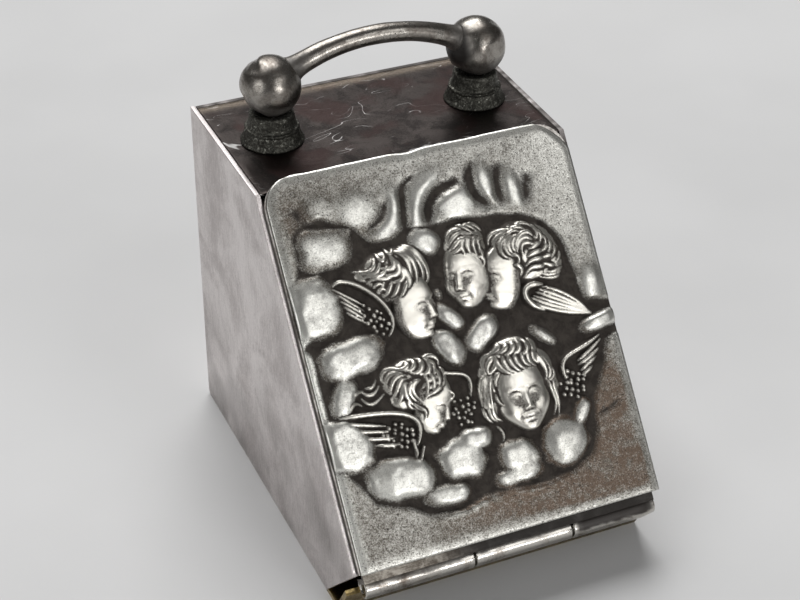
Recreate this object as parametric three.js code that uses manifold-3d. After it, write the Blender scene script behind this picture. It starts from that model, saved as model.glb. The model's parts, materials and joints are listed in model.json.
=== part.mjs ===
// Miniature silver box in the form of a sloping-front coal box with a fixed carrying handle.
// Millimetres, +Z up. The sloping lid faces -Y and the hinge runs along X.
// The origin is the centre of the flat underside of the base.

import * as THREE from 'three';
import { mergeVertices } from 'three/addons/utils/BufferGeometryUtils.js';
import Module from 'manifold-3d';

const wasm = await Module();
wasm.setup();

// Body: plain sheet panels soldered edge to edge.
const WIDTH = 30;
const HEIGHT = 33;
const SHEET = 0.5;
const SOLDER_LINE = 0.02;
const BACK_Y = 17;
const TOP_FRONT_Y = -0.4;
const SLOPE_END_Y = -21.9;
const SLOPE_END_Z = 6.85;
const SIDE_TOE_Y = -15.4;
const SIDE_HEEL_RADIUS = 0.6;
const BASE_BEND_Y = -18.3;

// Hinge: three lengths of tube on one pin, along the foot of the slope.
const HINGE_Y = -20.8;
const HINGE_Z = 4.17;
const KNUCKLE_RADIUS = 1.0;
const BORE_RADIUS = 0.5;
const PIN_RADIUS = 0.46;
const KNUCKLE_GAP = 0.2;
const KNUCKLES_START_X = -13.75;
const MIDDLE_KNUCKLE_START_X = -3.1;
const MIDDLE_KNUCKLE_END_X = 6.4;
const HINGE_SEGMENTS = 24;
const TURNING_GAP = 0.15;

// Lid, in its own frame: the origin is on the hinge axis, Y runs up the slope and Z points out.
const LID_FOOT_Y = 1.31;
const LID_HEAD_Y = 36.2;
const LID_WIDTH = 29.4;
const LID_CORNER_RADIUS = 2.7;
const LID_REST_GAP = 0.05;
const BACKING_SHEET = 0.4;
const PLAQUE_SHEET = 0.35;
const BACKING_INSET = 0.1;
const BEZEL_INSET = 1.0;
const BEZEL_SHEET = 0.4;
const BEZEL_DEPTH = 1.2;
const LEAF_SHEET = 0.45;
const LEAF_FRONT_Y = 0.5;
const LEAF_TUCK = 1.0;
const LEAF_SIDE_GAP = 0.3;

// Handle: an arched bar between two balls, each on a stepped collar.
const HANDLE_Y = 8.34;
const BALL_X = 10.1;
const BALL_Z = 38.34;
const BALL_RADIUS = 2.8;
const BAR_RADIUS = 0.95;
const BAR_APEX_Z = 41.5;
const BAR_SOCKET_DEPTH = 0.8;
const COLLAR_FOOT_RADIUS = 3.0;
const COLLAR_TOP_RADIUS = 2.3;
const COLLAR_LEDGE_HEIGHT = 1.4;
const COLLAR_HEIGHT = 2.9;
const PEG_RADIUS = 0.8;
const PEG_BURR_RADIUS = 1.3;
const PEG_BURR_HEIGHT = 0.3;
const PEG_DEPTH_IN_BALL = 1.5;
const FIT_GAP = 0.03;
const ROUND_SEGMENTS = 28;

// Stamped relief of the plaque, measured from the head of the lid. Each mound is
// [across, down, half width, half height, turn in degrees, rise].
const HEADS = [
  [-4.2, 11.0, 2.8, 3.9, 10, 1.1],
  [1.8, 10.4, 1.9, 3.4, 0, 1.0],
  [5.0, 13.0, 1.7, 2.2, 0, 1.0],
  [7.2, 10.4, 3.6, 2.9, 10, 1.1],
  [-5.6, 19.6, 3.0, 2.4, 0, 1.0],
  [-4.0, 22.6, 1.3, 1.7, -20, 0.9],
  [4.0, 22.0, 3.5, 4.2, 0, 1.2],
];
const WINGS = [
  [-8.2, 12.0, 3.4, 1.6, 48, 0.7],
  [9.3, 15.3, 3.3, 1.3, 30, 0.7],
  [-8.9, 23.0, 3.6, 1.5, 18, 0.7],
  [-1.5, 21.7, 1.3, 2.4, 0, 0.5],
  [10.4, 21.6, 3.6, 1.3, -52, 0.7],
];
const CLOUDS = [
  [-10.2, 6.8, 2.5, 2.0, 0, 0.6],
  [-7.4, 3.2, 2.9, 2.6, 0, 0.6],
  [-0.8, 3.9, 1.6, 2.6, 20, 0.6],
  [2.3, 5.0, 2.0, 1.8, 0, 0.6],
  [6.0, 4.0, 1.8, 2.9, 0, 0.6],
  [9.0, 4.6, 1.7, 2.4, 0, 0.6],
  [-12.4, 12.2, 2.2, 2.7, 0, 0.7],
  [-10.2, 16.9, 2.9, 1.8, -15, 0.7],
  [-12.2, 19.6, 1.1, 1.7, 15, 0.6],
  [-1.4, 8.3, 1.2, 1.0, 20, 0.5],
  [-0.7, 15.2, 1.2, 1.0, 40, 0.5],
  [-1.6, 17.5, 1.7, 1.2, 50, 0.6],
  [1.7, 17.3, 1.7, 1.1, -25, 0.6],
  [13.2, 15.7, 0.9, 1.8, 0, 0.5],
  [-12.4, 24.8, 2.3, 1.8, 20, 0.7],
  [-8.8, 27.9, 2.8, 1.8, 0, 0.7],
  [-2.6, 27.6, 2.6, 2.2, 0, 0.7],
  [-4.8, 30.4, 1.8, 0.9, 0, 0.5],
  [2.2, 29.2, 2.2, 1.8, 0, 0.7],
  [7.2, 28.8, 2.4, 2.3, -30, 0.7],
];
const PLAQUE_COLUMNS = 32;
const PLAQUE_ROWS = 34;
const CORNER_ROWS = 4;

const HALF_WIDTH = WIDTH / 2;
const INNER_HALF_WIDTH = HALF_WIDTH - SHEET - SOLDER_LINE;
const SLOPE_ANGLE = Math.atan2(HEIGHT - SLOPE_END_Z, TOP_FRONT_Y - SLOPE_END_Y);
const SLOPE_OUT = new THREE.Vector2(-Math.sin(SLOPE_ANGLE), Math.cos(SLOPE_ANGLE));
const HINGE_TO_SLOPE = new THREE.Vector2(SLOPE_END_Y - HINGE_Y, SLOPE_END_Z - HINGE_Z);
const BACKING_BOTTOM = HINGE_TO_SLOPE.dot(SLOPE_OUT) + LID_REST_GAP;
const BACKING_TOP = BACKING_BOTTOM + BACKING_SHEET;
const PLAQUE_BOTTOM = BACKING_TOP + SOLDER_LINE;

const bodySilver = new THREE.MeshStandardMaterial({ color: 0x8d8587, roughness: 0.42, metalness: 1 });
const topSilver = new THREE.MeshStandardMaterial({ color: 0x5a5152, roughness: 0.5, metalness: 1 });
const gilt = new THREE.MeshStandardMaterial({ color: 0xb59a4e, roughness: 0.4, metalness: 1 });
const brightSilver = new THREE.MeshStandardMaterial({ color: 0xb9b5ad, roughness: 0.3, metalness: 1 });
const handleSilver = new THREE.MeshStandardMaterial({ color: 0x77716f, roughness: 0.32, metalness: 1 });
const collarSilver = new THREE.MeshStandardMaterial({ color: 0x3f4341, roughness: 0.6, metalness: 1 });

function piece(name, geometry, material) {
  const mesh = new THREE.Mesh(geometry, material);
  mesh.name = name;
  return mesh;
}

function solid(geometry) {
  const bare = geometry.clone();
  bare.deleteAttribute('normal');
  bare.deleteAttribute('uv');
  const merged = mergeVertices(bare, 1e-5);
  const vertProperties = new Float32Array(merged.attributes.position.array);
  const triVerts = new Uint32Array(merged.index.array);
  return new wasm.Manifold(new wasm.Mesh({ numProp: 3, vertProperties, triVerts }));
}

function geometryOf(manifold) {
  const mesh = manifold.getMesh();
  const geometry = new THREE.BufferGeometry();
  geometry.setAttribute('position', new THREE.BufferAttribute(mesh.vertProperties, 3));
  geometry.setIndex(new THREE.BufferAttribute(mesh.triVerts, 1));
  geometry.computeVertexNormals();
  return geometry;
}

// A profile drawn in the Y-Z plane and extruded along X.
function acrossX(shape, startX, endX, curveSegments = HINGE_SEGMENTS / 2) {
  const options = { depth: endX - startX, bevelEnabled: false, curveSegments };
  const geometry = new THREE.ExtrudeGeometry(shape, options);
  const axes = new THREE.Matrix4().makeBasis(
    new THREE.Vector3(0, 1, 0), new THREE.Vector3(0, 0, 1), new THREE.Vector3(1, 0, 0));
  geometry.applyMatrix4(axes);
  geometry.translate(startX, 0, 0);
  return geometry;
}

function cylinderX(radius, startX, endX, centreY, centreZ) {
  const shape = new THREE.Shape().absarc(centreY, centreZ, radius, 0, 2 * Math.PI, false);
  return acrossX(shape, startX, endX);
}

function cylinderZ(radius, startZ, endZ) {
  const geometry = new THREE.CylinderGeometry(radius, radius, endZ - startZ, ROUND_SEGMENTS);
  geometry.rotateX(Math.PI / 2);
  geometry.translate(0, 0, (startZ + endZ) / 2);
  return geometry;
}

function block(startX, endX, startY, endY, startZ, endZ) {
  const geometry = new THREE.BoxGeometry(endX - startX, endY - startY, endZ - startZ);
  geometry.translate((startX + endX) / 2, (startY + endY) / 2, (startZ + endZ) / 2);
  return geometry;
}

// ---- body ----

function sidePanel(outerX, innerX) {
  const heel = SIDE_HEEL_RADIUS;
  const outline = new THREE.Shape();
  outline.moveTo(SIDE_TOE_Y, 0);
  outline.lineTo(BACK_Y - heel, 0);
  outline.absarc(BACK_Y - heel, heel, heel, -Math.PI / 2, 0, false);
  outline.lineTo(BACK_Y, HEIGHT);
  outline.lineTo(TOP_FRONT_Y, HEIGHT);
  outline.lineTo(SLOPE_END_Y, SLOPE_END_Z);
  outline.closePath();
  return acrossX(outline, Math.min(outerX, innerX), Math.max(outerX, innerX), 4);
}

function backPanel() {
  return block(-INNER_HALF_WIDTH, INNER_HALF_WIDTH, BACK_Y - SHEET, BACK_Y, 0, HEIGHT);
}

function topPlate() {
  const backEdgeY = BACK_Y - SHEET - SOLDER_LINE;
  let plate = solid(block(
    -INNER_HALF_WIDTH, INNER_HALF_WIDTH, TOP_FRONT_Y, backEdgeY, HEIGHT - SHEET, HEIGHT));
  for (const side of [-1, 1]) {
    const hole = cylinderZ(PEG_RADIUS + FIT_GAP, HEIGHT - 2 * SHEET, HEIGHT + SHEET);
    hole.translate(side * BALL_X, HANDLE_Y, 0);
    plate = plate.subtract(solid(hole));
  }
  return geometryOf(plate);
}

// The base runs forward past the side panels and turns up into a lip that carries the hinge.
function basePlate() {
  const backEdgeY = BACK_Y - SHEET - SOLDER_LINE;
  const lipAngle = Math.atan2(HINGE_Z, BASE_BEND_Y - HINGE_Y);
  const profile = new THREE.Shape();
  profile.moveTo(backEdgeY, 0);
  profile.lineTo(backEdgeY, SHEET);
  profile.lineTo(BASE_BEND_Y + SHEET * Math.tan(lipAngle / 2), SHEET);
  profile.lineTo(HINGE_Y + SHEET * Math.sin(lipAngle), HINGE_Z + SHEET * Math.cos(lipAngle));
  profile.lineTo(HINGE_Y, HINGE_Z);
  profile.lineTo(BASE_BEND_Y, 0);
  profile.closePath();
  const narrow = solid(acrossX(profile, -INNER_HALF_WIDTH, INNER_HALF_WIDTH));
  const wide = solid(acrossX(profile, -HALF_WIDTH, HALF_WIDTH));
  const front = solid(block(
    -WIDTH, WIDTH, HINGE_Y - SHEET, SIDE_TOE_Y - SOLDER_LINE, -SHEET, HINGE_Z + SHEET));
  const sideRoom = solid(sidePanel(-WIDTH, WIDTH)).translate([0, -SOLDER_LINE, 0]);
  const shoulders = wide.intersect(front).subtract(sideRoom);
  const cradle = solid(cylinderX(
    KNUCKLE_RADIUS + FIT_GAP, -WIDTH, WIDTH, HINGE_Y, HINGE_Z));
  const middleRoom = solid(cylinderX(
    KNUCKLE_RADIUS + TURNING_GAP, MIDDLE_KNUCKLE_START_X - KNUCKLE_GAP,
    MIDDLE_KNUCKLE_END_X + KNUCKLE_GAP, HINGE_Y, HINGE_Z));
  return geometryOf(narrow.add(shoulders).subtract(cradle).subtract(middleRoom));
}

// ---- hinge ----

function knuckle(startX, endX, centreY, centreZ) {
  const ring = new THREE.Shape().absarc(centreY, centreZ, KNUCKLE_RADIUS, 0, 2 * Math.PI, false);
  ring.holes.push(new THREE.Path().absarc(centreY, centreZ, BORE_RADIUS, 0, 2 * Math.PI, true));
  return acrossX(ring, startX, endX);
}

function hingePin() {
  const recess = KNUCKLE_GAP / 2;
  return cylinderX(PIN_RADIUS, KNUCKLES_START_X + recess, HALF_WIDTH - recess, HINGE_Y, HINGE_Z);
}

// A strip turned down from the foot of the lid. It cradles the lid's own knuckle and
// passes just over the two fixed ones.
function hingeLeaf() {
  const halfWidth = INNER_HALF_WIDTH - LEAF_SIDE_GAP;
  const frontY = LEAF_FRONT_Y;
  const top = BACKING_BOTTOM - SOLDER_LINE;
  const riser = solid(block(-halfWidth, halfWidth, frontY, frontY + LEAF_SHEET, 0, top));
  const flange = solid(block(
    -halfWidth, halfWidth, frontY, LID_FOOT_Y + LEAF_TUCK, top - LEAF_SHEET, top));
  const cradle = solid(cylinderX(KNUCKLE_RADIUS + FIT_GAP, -WIDTH, WIDTH, 0, 0));
  const turningRadius = KNUCKLE_RADIUS + TURNING_GAP;
  const leftRoom = solid(cylinderX(
    turningRadius, -WIDTH, MIDDLE_KNUCKLE_START_X - KNUCKLE_GAP / 2, 0, 0));
  const rightRoom = solid(cylinderX(
    turningRadius, MIDDLE_KNUCKLE_END_X + KNUCKLE_GAP / 2, WIDTH, 0, 0));
  return geometryOf(riser.add(flange).subtract(cradle).subtract(leftRoom).subtract(rightRoom));
}

// ---- lid ----

function lidOutline(margin) {
  const halfWidth = LID_WIDTH / 2 - margin;
  const foot = LID_FOOT_Y + margin;
  const head = LID_HEAD_Y - margin;
  const radius = LID_CORNER_RADIUS;
  const outline = new THREE.Shape();
  outline.moveTo(-halfWidth, foot);
  outline.lineTo(halfWidth, foot);
  outline.absarc(halfWidth - radius, head - radius, radius, 0, Math.PI / 2, false);
  outline.absarc(radius - halfWidth, head - radius, radius, Math.PI / 2, Math.PI, false);
  outline.closePath();
  return outline;
}

function backingPlate() {
  const options = { depth: BACKING_SHEET, bevelEnabled: false, curveSegments: 6 };
  const geometry = new THREE.ExtrudeGeometry(lidOutline(BACKING_INSET), options);
  geometry.translate(0, 0, BACKING_BOTTOM);
  return geometry;
}

function moundHeight(x, down, [across, along, halfWidth, halfHeight, turn, rise]) {
  const angle = THREE.MathUtils.degToRad(turn);
  const dx = x - across;
  const dy = down - along;
  const u = (dx * Math.cos(angle) + dy * Math.sin(angle)) / halfWidth;
  const v = (dy * Math.cos(angle) - dx * Math.sin(angle)) / halfHeight;
  return rise * Math.sqrt(Math.max(0, 1 - u * u - v * v));
}

function reliefHeight(x, y) {
  const down = LID_HEAD_Y - y;
  const mounds = [...HEADS, ...WINGS, ...CLOUDS];
  return Math.max(...mounds.map((mound) => moundHeight(x, down, mound)));
}

// Rows across the plaque: each has its distance up the slope and its half width.
function plaqueRows() {
  const rows = [];
  const cornerStart = LID_HEAD_Y - LID_CORNER_RADIUS;
  for (let row = 0; row < PLAQUE_ROWS; row += 1) {
    const y = THREE.MathUtils.lerp(LID_FOOT_Y, cornerStart, row / PLAQUE_ROWS);
    rows.push({ y, halfWidth: LID_WIDTH / 2 });
  }
  for (let row = 0; row <= CORNER_ROWS; row += 1) {
    const angle = (row / CORNER_ROWS) * (Math.PI / 2);
    const y = cornerStart + LID_CORNER_RADIUS * Math.sin(angle);
    const halfWidth = LID_WIDTH / 2 - LID_CORNER_RADIUS * (1 - Math.cos(angle));
    rows.push({ y, halfWidth });
  }
  return rows;
}

// A thin stamped sheet: its back is hollow behind the relief.
function plaque() {
  const rows = plaqueRows();
  const perRow = PLAQUE_COLUMNS + 1;
  const perSkin = rows.length * perRow;
  const positions = [];
  for (const bottom of [PLAQUE_BOTTOM, PLAQUE_BOTTOM + PLAQUE_SHEET]) {
    for (const { y, halfWidth } of rows) {
      for (let column = 0; column < perRow; column += 1) {
        const x = halfWidth * (2 * column / PLAQUE_COLUMNS - 1);
        positions.push(x, y, bottom + reliefHeight(x, y));
      }
    }
  }
  const index = [];
  const quad = (a, b, c, d) => index.push(a, b, c, a, c, d);
  for (let row = 0; row + 1 < rows.length; row += 1) {
    for (let column = 0; column < PLAQUE_COLUMNS; column += 1) {
      const a = row * perRow + column;
      const b = a + perRow;
      quad(a, b, b + 1, a + 1);
      quad(perSkin + a, perSkin + a + 1, perSkin + b + 1, perSkin + b);
    }
  }
  const lastRow = perSkin - perRow;
  for (let column = 0; column < PLAQUE_COLUMNS; column += 1) {
    quad(column, column + 1, perSkin + column + 1, perSkin + column);
    const a = lastRow + column;
    quad(a + 1, a, perSkin + a, perSkin + a + 1);
  }
  for (let row = 0; row + 1 < rows.length; row += 1) {
    const left = row * perRow;
    const right = left + PLAQUE_COLUMNS;
    quad(left + perRow, left, perSkin + left, perSkin + left + perRow);
    quad(right, right + perRow, perSkin + right + perRow, perSkin + right);
  }
  const geometry = new THREE.BufferGeometry();
  geometry.setAttribute('position', new THREE.Float32BufferAttribute(positions, 3));
  geometry.setIndex(index);
  geometry.computeVertexNormals();
  return geometry;
}

// A shallow frame inside the lid that drops between the side panels.
function bezel() {
  const outer = {
    x: INNER_HALF_WIDTH - BEZEL_INSET,
    foot: LID_FOOT_Y + LEAF_TUCK + BEZEL_INSET,
    head: LID_HEAD_Y - LID_CORNER_RADIUS,
  };
  const frame = new THREE.Shape();
  frame.moveTo(-outer.x, outer.foot);
  frame.lineTo(outer.x, outer.foot);
  frame.lineTo(outer.x, outer.head);
  frame.lineTo(-outer.x, outer.head);
  frame.closePath();
  const opening = new THREE.Path();
  opening.moveTo(BEZEL_SHEET - outer.x, outer.foot + BEZEL_SHEET);
  opening.lineTo(BEZEL_SHEET - outer.x, outer.head - BEZEL_SHEET);
  opening.lineTo(outer.x - BEZEL_SHEET, outer.head - BEZEL_SHEET);
  opening.lineTo(outer.x - BEZEL_SHEET, outer.foot + BEZEL_SHEET);
  opening.closePath();
  frame.holes.push(opening);
  const geometry = new THREE.ExtrudeGeometry(frame, { depth: BEZEL_DEPTH, bevelEnabled: false });
  geometry.translate(0, 0, BACKING_BOTTOM - SOLDER_LINE - BEZEL_DEPTH);
  return geometry;
}

// ---- handle ----

// The bar follows the circle through its apex that points at both ball centres.
const BALL_DROP = BAR_APEX_Z - BALL_Z;
const BAR_ARC_RADIUS = (BALL_X * BALL_X + BALL_DROP * BALL_DROP) / (2 * BALL_DROP);
const BAR_END_ANGLE = Math.asin(BALL_X / BAR_ARC_RADIUS)
  - 2 * Math.asin((BALL_RADIUS - BAR_SOCKET_DEPTH) / (2 * BAR_ARC_RADIUS));

class BarArc extends THREE.Curve {
  constructor(endAngle) {
    super();
    this.endAngle = endAngle;
  }

  getPoint(t, target = new THREE.Vector3()) {
    const angle = this.endAngle * (2 * t - 1);
    const z = BAR_APEX_Z - BAR_ARC_RADIUS * (1 - Math.cos(angle));
    return target.set(BAR_ARC_RADIUS * Math.sin(angle), HANDLE_Y, z);
  }
}

function barAlongArc(radius, endAngle) {
  const section = new THREE.Shape().absarc(0, 0, radius, 0, 2 * Math.PI, false);
  const options = { steps: 20, extrudePath: new BarArc(endAngle), curveSegments: 7 };
  return new THREE.ExtrudeGeometry(section, options);
}

function handleBall(side) {
  const ball = new THREE.SphereGeometry(BALL_RADIUS, ROUND_SEGMENTS, ROUND_SEGMENTS / 2);
  ball.rotateX(Math.PI / 2);
  ball.translate(side * BALL_X, HANDLE_Y, BALL_Z);
  const socketEnd = BAR_END_ANGLE + FIT_GAP / BAR_ARC_RADIUS;
  const socket = solid(barAlongArc(BAR_RADIUS + FIT_GAP, socketEnd));
  const pegTop = BALL_Z - BALL_RADIUS + PEG_DEPTH_IN_BALL + FIT_GAP;
  const pegHole = cylinderZ(PEG_RADIUS + FIT_GAP, HEIGHT, pegTop);
  pegHole.translate(side * BALL_X, HANDLE_Y, 0);
  return geometryOf(solid(ball).subtract(socket).subtract(solid(pegHole)));
}

function handleCollar(side) {
  const step = (COLLAR_FOOT_RADIUS - COLLAR_TOP_RADIUS) / 2;
  const profile = [
    [PEG_RADIUS + FIT_GAP, 0],
    [COLLAR_FOOT_RADIUS, 0],
    [COLLAR_FOOT_RADIUS, COLLAR_LEDGE_HEIGHT - step / 2],
    [COLLAR_FOOT_RADIUS - step / 2, COLLAR_LEDGE_HEIGHT],
    [COLLAR_TOP_RADIUS, COLLAR_LEDGE_HEIGHT],
    [COLLAR_TOP_RADIUS, COLLAR_HEIGHT],
    [PEG_RADIUS + FIT_GAP, COLLAR_HEIGHT],
    [PEG_RADIUS + FIT_GAP, 0],
  ].map(([radius, height]) => new THREE.Vector2(radius, height));
  const collar = new THREE.LatheGeometry(profile, ROUND_SEGMENTS);
  collar.rotateX(Math.PI / 2);
  collar.translate(side * BALL_X, HANDLE_Y, HEIGHT + SOLDER_LINE);
  const seat = new THREE.SphereGeometry(BALL_RADIUS + 2 * FIT_GAP, ROUND_SEGMENTS, ROUND_SEGMENTS / 2);
  seat.rotateX(Math.PI / 2);
  seat.translate(side * BALL_X, HANDLE_Y, BALL_Z);
  return geometryOf(solid(collar).subtract(solid(seat)));
}

// A peg up through the top plate and collar into the ball, burred over inside the box.
function handlePeg(side) {
  const burrTop = HEIGHT - SHEET - SOLDER_LINE;
  const pegTop = BALL_Z - BALL_RADIUS + PEG_DEPTH_IN_BALL;
  const profile = [
    [0, burrTop - PEG_BURR_HEIGHT],
    [PEG_BURR_RADIUS, burrTop - PEG_BURR_HEIGHT],
    [PEG_BURR_RADIUS, burrTop],
    [PEG_RADIUS, burrTop],
    [PEG_RADIUS, pegTop],
    [0, pegTop],
  ].map(([radius, height]) => new THREE.Vector2(radius, height));
  const peg = new THREE.LatheGeometry(profile, ROUND_SEGMENTS);
  peg.rotateX(Math.PI / 2);
  peg.translate(side * BALL_X, HANDLE_Y, 0);
  return peg;
}

// ---- assembly ----

const body = new THREE.Group();
body.add(
  piece('left_side_panel', sidePanel(-HALF_WIDTH, SHEET - HALF_WIDTH), bodySilver),
  piece('right_side_panel', sidePanel(HALF_WIDTH, HALF_WIDTH - SHEET), bodySilver),
  piece('back_panel', backPanel(), bodySilver),
  piece('top_plate', topPlate(), topSilver),
  piece('base_plate', basePlate(), gilt),
  piece('hinge_knuckle_left',
    knuckle(KNUCKLES_START_X, MIDDLE_KNUCKLE_START_X - KNUCKLE_GAP, HINGE_Y, HINGE_Z),
    brightSilver),
  piece('hinge_knuckle_right',
    knuckle(MIDDLE_KNUCKLE_END_X + KNUCKLE_GAP, HALF_WIDTH, HINGE_Y, HINGE_Z), brightSilver),
  piece('hinge_pin', hingePin(), handleSilver),
  piece('handle_bar', barAlongArc(BAR_RADIUS, BAR_END_ANGLE), handleSilver),
);
for (const [name, side] of [['left', -1], ['right', 1]]) {
  body.add(
    piece(`handle_ball_${name}`, handleBall(side), handleSilver),
    piece(`handle_collar_${name}`, handleCollar(side), collarSilver),
    piece(`handle_peg_${name}`, handlePeg(side), collarSilver),
  );
}

const lid = new THREE.Group();
lid.position.set(0, HINGE_Y, HINGE_Z);
lid.rotation.x = SLOPE_ANGLE;
lid.add(
  piece('lid_backing_plate', backingPlate(), brightSilver),
  piece('lid_plaque', plaque(), brightSilver),
  piece('lid_bezel', bezel(), gilt),
  piece('lid_hinge_leaf', hingeLeaf(), brightSilver),
  piece('hinge_knuckle_middle',
    knuckle(MIDDLE_KNUCKLE_START_X, MIDDLE_KNUCKLE_END_X, 0, 0), brightSilver),
);

const box = new THREE.Group();
box.add(body, lid);

export default box;
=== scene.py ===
"""Looks for a miniature silver box in the form of a sloping-front coal box.

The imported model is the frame. Shapes are worked out in millimetres, in the frame's own axes,
and are turned into metres when a mesh is made.
"""

import json
import math

import bmesh
import bpy
import numpy as np
from mathutils import Matrix, Vector

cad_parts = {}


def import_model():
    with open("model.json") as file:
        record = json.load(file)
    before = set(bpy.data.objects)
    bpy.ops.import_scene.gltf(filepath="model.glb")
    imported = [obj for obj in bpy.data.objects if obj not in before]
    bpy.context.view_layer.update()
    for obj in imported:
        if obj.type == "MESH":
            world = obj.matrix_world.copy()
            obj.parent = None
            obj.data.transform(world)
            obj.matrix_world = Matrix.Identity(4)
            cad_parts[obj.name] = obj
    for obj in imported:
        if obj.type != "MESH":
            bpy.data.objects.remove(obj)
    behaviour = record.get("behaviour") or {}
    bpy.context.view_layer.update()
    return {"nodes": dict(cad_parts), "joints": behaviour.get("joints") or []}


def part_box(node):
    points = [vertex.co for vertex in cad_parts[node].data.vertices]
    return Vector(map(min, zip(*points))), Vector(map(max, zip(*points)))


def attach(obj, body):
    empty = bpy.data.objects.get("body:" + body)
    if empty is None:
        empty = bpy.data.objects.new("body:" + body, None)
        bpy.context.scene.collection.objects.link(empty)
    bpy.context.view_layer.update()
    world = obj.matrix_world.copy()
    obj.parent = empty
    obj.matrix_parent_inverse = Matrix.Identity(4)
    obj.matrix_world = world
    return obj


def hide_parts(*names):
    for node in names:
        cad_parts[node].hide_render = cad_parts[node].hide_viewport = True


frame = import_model()

MM = 0.001
TAU = 2 * math.pi

# ---- places read from the frame, in millimetres ----

HINGE_Y, HINGE_Z = (value / MM for value in frame["joints"][0]["pos_m"][1:])


def box_mm(node):
    """Lowest and highest corner of a CAD node."""
    low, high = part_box(node)
    return np.array(low) / MM, np.array(high) / MM


def points_mm(node):
    """The CAD node's vertices."""
    return np.array([vertex.co for vertex in frame["nodes"][node].data.vertices]) / MM


SAME_LEVEL = 0.01
SIDE_POINTS = points_mm("left_side_panel")
SIDE_TOE_Y = SIDE_POINTS[SIDE_POINTS[:, 2] < SAME_LEVEL][:, 1].min()
SLOPE_FOOT = SIDE_POINTS[SIDE_POINTS[:, 1].argmin(), 1:]
TOP_POINTS = SIDE_POINTS[SIDE_POINTS[:, 2] > SIDE_POINTS[:, 2].max() - SAME_LEVEL]
SLOPE_HEAD = TOP_POINTS[TOP_POINTS[:, 1].argmin(), 1:]
UP_SLOPE = (SLOPE_HEAD - SLOPE_FOOT) / np.linalg.norm(SLOPE_HEAD - SLOPE_FOOT)
OUT_OF_SLOPE = np.array([-UP_SLOPE[1], UP_SLOPE[0]])


def from_lid(x, up, out):
    """Points of the lid's own frame (across, up the slope and outwards from the hinge axis)."""
    x, up, out = np.broadcast_arrays(x, up, out)
    y = HINGE_Y + up * UP_SLOPE[0] + out * OUT_OF_SLOPE[0]
    z = HINGE_Z + up * UP_SLOPE[1] + out * OUT_OF_SLOPE[1]
    return np.stack([x, y, z], -1)


def to_lid(points):
    """Distance up the slope and outwards of points given in the box's frame."""
    offset = points[:, 1:] - np.array([HINGE_Y, HINGE_Z])
    return offset @ UP_SLOPE, offset @ OUT_OF_SLOPE


PLAQUE_UP, PLAQUE_OUT = to_lid(points_mm("lid_plaque"))
LID_FOOT, LID_HEAD = PLAQUE_UP.min(), PLAQUE_UP.max()
PLAQUE_BOTTOM = PLAQUE_OUT.min()
LID_HALF_WIDTH = box_mm("lid_plaque")[1][0]

# ---- the stamped relief, drawn on a canvas: X runs across, S down from the top of the slope ----

PITCH = 0.05
HEAD_OVERHANG = 0.96
SLOPE_TOP = LID_HEAD - HEAD_OVERHANG
CANVAS_X = np.arange(-LID_HALF_WIDTH, LID_HALF_WIDTH + PITCH / 2, PITCH)
CANVAS_S = np.arange(SLOPE_TOP - LID_HEAD, SLOPE_TOP - LID_FOOT + PITCH / 2, PITCH)
X, S = np.meshgrid(CANVAS_X, CANVAS_S)

FLOOR = -0.28
FACE_LIFT, FACE_DEPTH = -0.10, 0.24
# How dark the painted shade on the faces is.
FACE_PAINTED_SHADE = 0.48
HAIR_RISE = 0.26
HAIR_MASS_EDGE = 0.84, 0.94
WING_BASE = -0.12
WING_EDGE_RISE, FEATHER_RISE = 0.40, 0.32
STUD_BASE, STUD_SPACING, STUD_RADIUS, STUD_RISE = -0.14, 0.56, 0.24, 0.30
STUD_WANDER = 0.13
LOCK_EDGE = 0.40, 0.74
NOISE_TABLE = 64
NOISE_START = 200


def smooth(value, low, high):
    """0 below low, 1 above high, and a smooth step between."""
    t = np.clip((value - low) / (high - low), 0, 1)
    return t * t * (3 - 2 * t)


def noise(x, y, size, seed):
    """Smooth random values from -1 to 1 whose lumps are about size across."""
    table = np.random.default_rng(seed).random((NOISE_TABLE, NOISE_TABLE)) * 2 - 1
    u, v = x / size + NOISE_START, y / size + NOISE_START
    i, j = np.floor(u).astype(int), np.floor(v).astype(int)
    fu, fv = smooth(u - i, 0, 1), smooth(v - j, 0, 1)
    i, j, next_i, next_j = (k % NOISE_TABLE for k in (i, j, i + 1, j + 1))
    near = table[i, j] * (1 - fu) + table[next_i, j] * fu
    far = table[i, next_j] * (1 - fu) + table[next_i, next_j] * fu
    return near * (1 - fv) + far * fv


def blur(z, radius):
    """Gaussian blur of a canvas, by Fourier transform."""
    pad = int(3 * radius / PITCH) + 2
    padded = np.pad(z, pad, mode="edge")
    down = np.fft.fftfreq(padded.shape[0], PITCH)[:, None]
    across = np.fft.rfftfreq(padded.shape[1], PITCH)[None, :]
    gain = np.exp(-2 * (math.pi * radius) ** 2 * (across**2 + down**2))
    return np.fft.irfft2(np.fft.rfft2(padded) * gain, s=padded.shape)[pad:-pad, pad:-pad]


def window(x, s, reach):
    """The rows and columns of the canvas within reach of a point."""
    top = max(int((s - reach - CANVAS_S[0]) / PITCH), 0)
    left = max(int((x - reach - CANVAS_X[0]) / PITCH), 0)
    bottom = max(int((s + reach - CANVAS_S[0]) / PITCH) + 2, 0)
    right = max(int((x + reach - CANVAS_X[0]) / PITCH) + 2, 0)
    return slice(top, bottom), slice(left, right)


def oval(x, s, half_width, half_height, turn, power=2.0):
    """0 at the middle of a turned oval and 1 on its edge."""
    angle = math.radians(turn)
    dx, ds = X - x, S - s
    u = (dx * math.cos(angle) + ds * math.sin(angle)) / half_width
    v = (ds * math.cos(angle) - dx * math.sin(angle)) / half_height
    return (np.abs(u) ** power + np.abs(v) ** power) ** (1 / power)


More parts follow.
